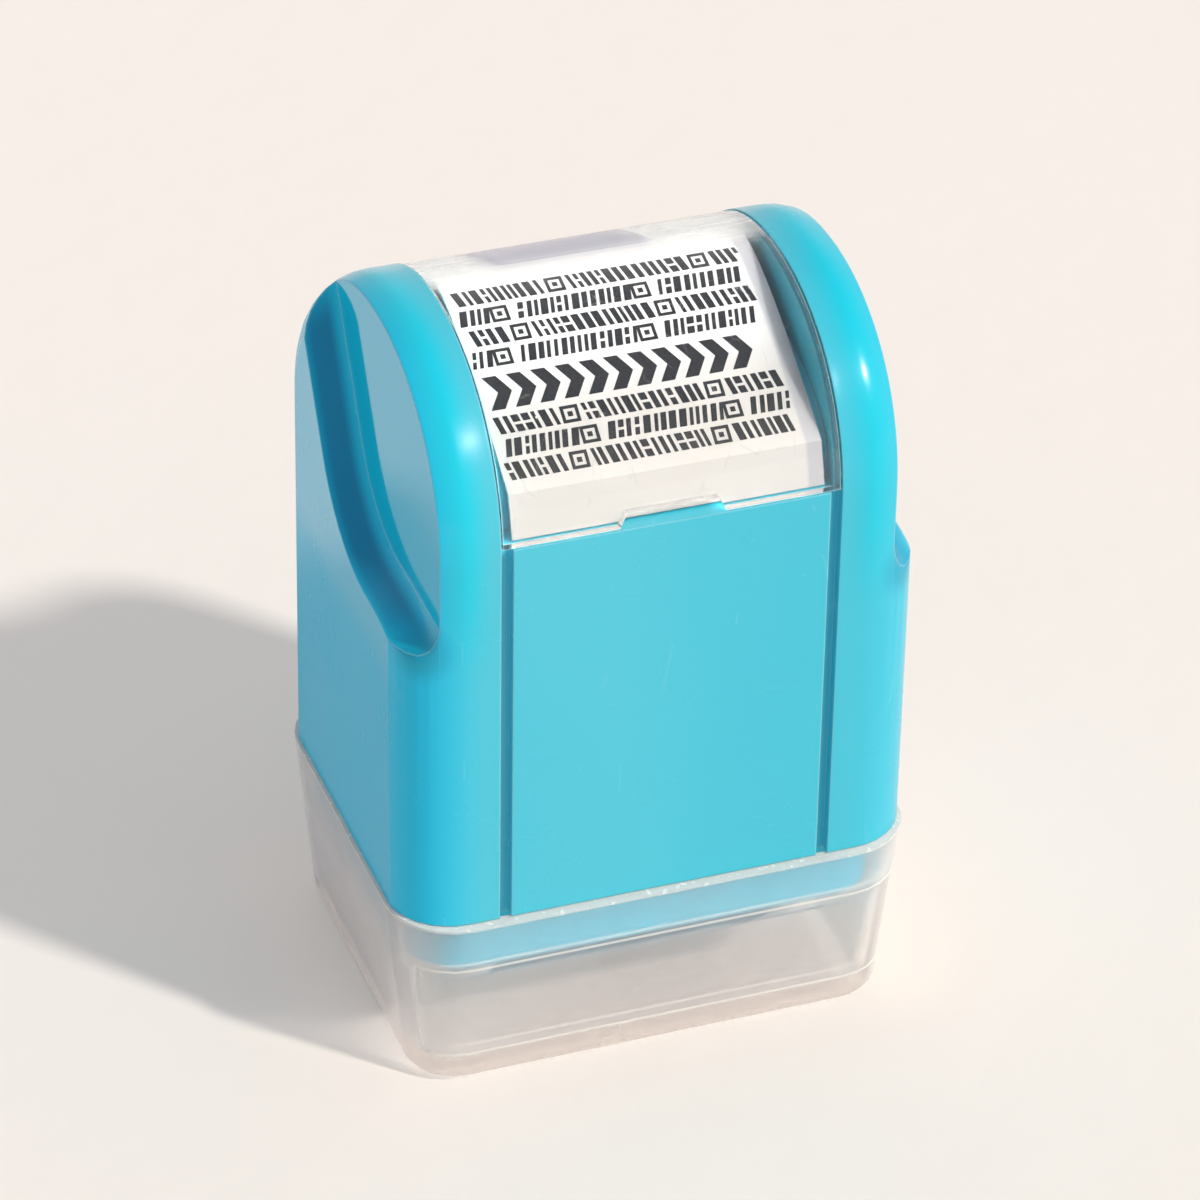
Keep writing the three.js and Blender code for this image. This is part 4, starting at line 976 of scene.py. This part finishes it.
def label_print():
    """The rows of strokes and tiles and the band of chevrons, as one thin mesh on the card."""
    card = CardSurface("label_card")
    rng = random.Random(PRINT_SEED)
    left = -card.half_width + PRINT_MARGIN_LEFT
    right = card.half_width - PRINT_MARGIN_RIGHT
    height = PRINT_PITCH * PRINT_ROW_SHARE
    points, faces = [], []

    def stroke(x, width, lean, bottom, top):
        ends = sorted((x, x + lean))
        if ends[0] < left or ends[1] + width > right:
            return
        printed_shape(card, (x, x + lean), (x + width, x + width + lean), bottom, top, points, faces)

    def tile(x, base):
        rim, dot = height * TILE_RIM, height * TILE_DOT
        far, inset = height - rim, (height - dot) / 2
        stroke(x, height, 0, base, base + rim)
        stroke(x, height, 0, base + far, base + height)
        stroke(x, rim, 0, base + rim, base + far)
        stroke(x + far, rim, 0, base + rim, base + far)
        stroke(x + inset, dot, 0, base + inset, base + inset + dot)

    for row in range(PRINT_ROWS):
        if row in BAND_ROWS:
            continue
        base = PRINT_START + row * PRINT_PITCH
        lean = STROKE_LEAN if row % 2 else -STROKE_LEAN
        x = left - rng.uniform(0, ROW_SHIFT)
        since_tile = rng.uniform(0, ROW_FIRST_TILE)
        while x < right:
            if since_tile > TILE_SPACING:
                tile(x, base)
                x += height + TILE_GAP + abs(lean)
                since_tile = 0.0
                continue
            width = rng.choice(STROKE_WIDTHS)
            gap = rng.choice(STROKE_GAPS)
            if rng.random() < STROKE_WHOLE:
                stroke(x, width, lean, base, base + height)
            else:
                part, rest = STROKE_PART, 1 - STROKE_PART
                stroke(x, width, lean * part, base, base + height * part)
                stroke(x + lean * rest, width, lean * part, base + height * rest, base + height)
            x += width + gap
            since_tile += width + gap

    bottom = PRINT_START + BAND_ROWS[0] * PRINT_PITCH + BAND_MARGIN_LOW
    top = PRINT_START + BAND_ROWS[-1] * PRINT_PITCH + height - BAND_MARGIN_HIGH
    middle = (bottom + top) / 2
    x = left + CHEVRON_START
    while x + CHEVRON_LEAN + CHEVRON_WIDTH < right:
        stroke(x, CHEVRON_WIDTH, CHEVRON_LEAN, bottom, middle)
        stroke(x + CHEVRON_LEAN, CHEVRON_WIDTH, -CHEVRON_LEAN, middle, top)
        x += CHEVRON_WIDTH + CHEVRON_GAP
    piece = mesh_object("label_print", points, faces, INK)
    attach(piece, "window")


label_print()

# Floor, light and camera


def direction(azimuth, elevation):
    """The way from the object: azimuth from its front towards its right, elevation above the floor."""
    level = math.cos(elevation)
    return Vector((math.sin(azimuth) * level, -math.cos(azimuth) * level, math.sin(elevation)))


half = FLOOR_SIZE / 2
corners = [(-half, -half, 0), (half, -half, 0), (half, half, 0), (-half, half, 0)]
floor = mesh_object("floor", corners, [(0, 1, 2, 3)], floor_material())

world = bpy.data.worlds.new("sky")
bpy.context.scene.world = world
sky = Graph(world)
heading = sky.add("ShaderNodeTexCoord").outputs["Generated"]
parts = sky.add("ShaderNodeSeparateXYZ", {0: heading}).outputs
shade = sky.mix(sky.ramp(parts[0], *SKY_ACROSS), SKY_LEFT, SKY_RIGHT)
shade = sky.mix(sky.ramp(parts[2], *SKY_UPWARD), shade, SKY_HIGH)
background = sky.add("ShaderNodeBackground", {"Color": shade})
sky.add("ShaderNodeOutputWorld", {"Surface": background.outputs[0]})

sun_data = bpy.data.lights.new("sun", "SUN")
sun_data.energy = SUN_STRENGTH
sun_data.angle = SUN_ANGLE
sun_data.color = SUN_COLOUR
toward_sun = direction(SUN_AZIMUTH, SUN_ELEVATION)
linked("sun", sun_data).rotation_euler = toward_sun.to_track_quat("Z", "Y").to_euler()

back = direction(CAMERA_AZIMUTH, CAMERA_ELEVATION)
right = (-back).cross(Vector((0, 0, 1))).normalized()
up = right.cross(-back)
rolled_right = right * math.cos(CAMERA_ROLL) + up * math.sin(CAMERA_ROLL)
rolled_up = up * math.cos(CAMERA_ROLL) - right * math.sin(CAMERA_ROLL)
turn = Matrix((rolled_right, rolled_up, back)).transposed().to_4x4()
camera_data = bpy.data.cameras.new("camera")
camera_data.lens = LENS
camera_data.sensor_width = SENSOR
camera_data.shift_x = SHIFT_X
camera_data.shift_y = SHIFT_Y
camera_data.clip_start, camera_data.clip_end = CAMERA_CLIP
camera = linked("camera", camera_data)
camera.matrix_world = Matrix.Translation(CAMERA_TARGET + back * CAMERA_DISTANCE) @ turn
bpy.context.scene.camera = camera

bpy.context.scene.view_settings.view_transform = "Standard"
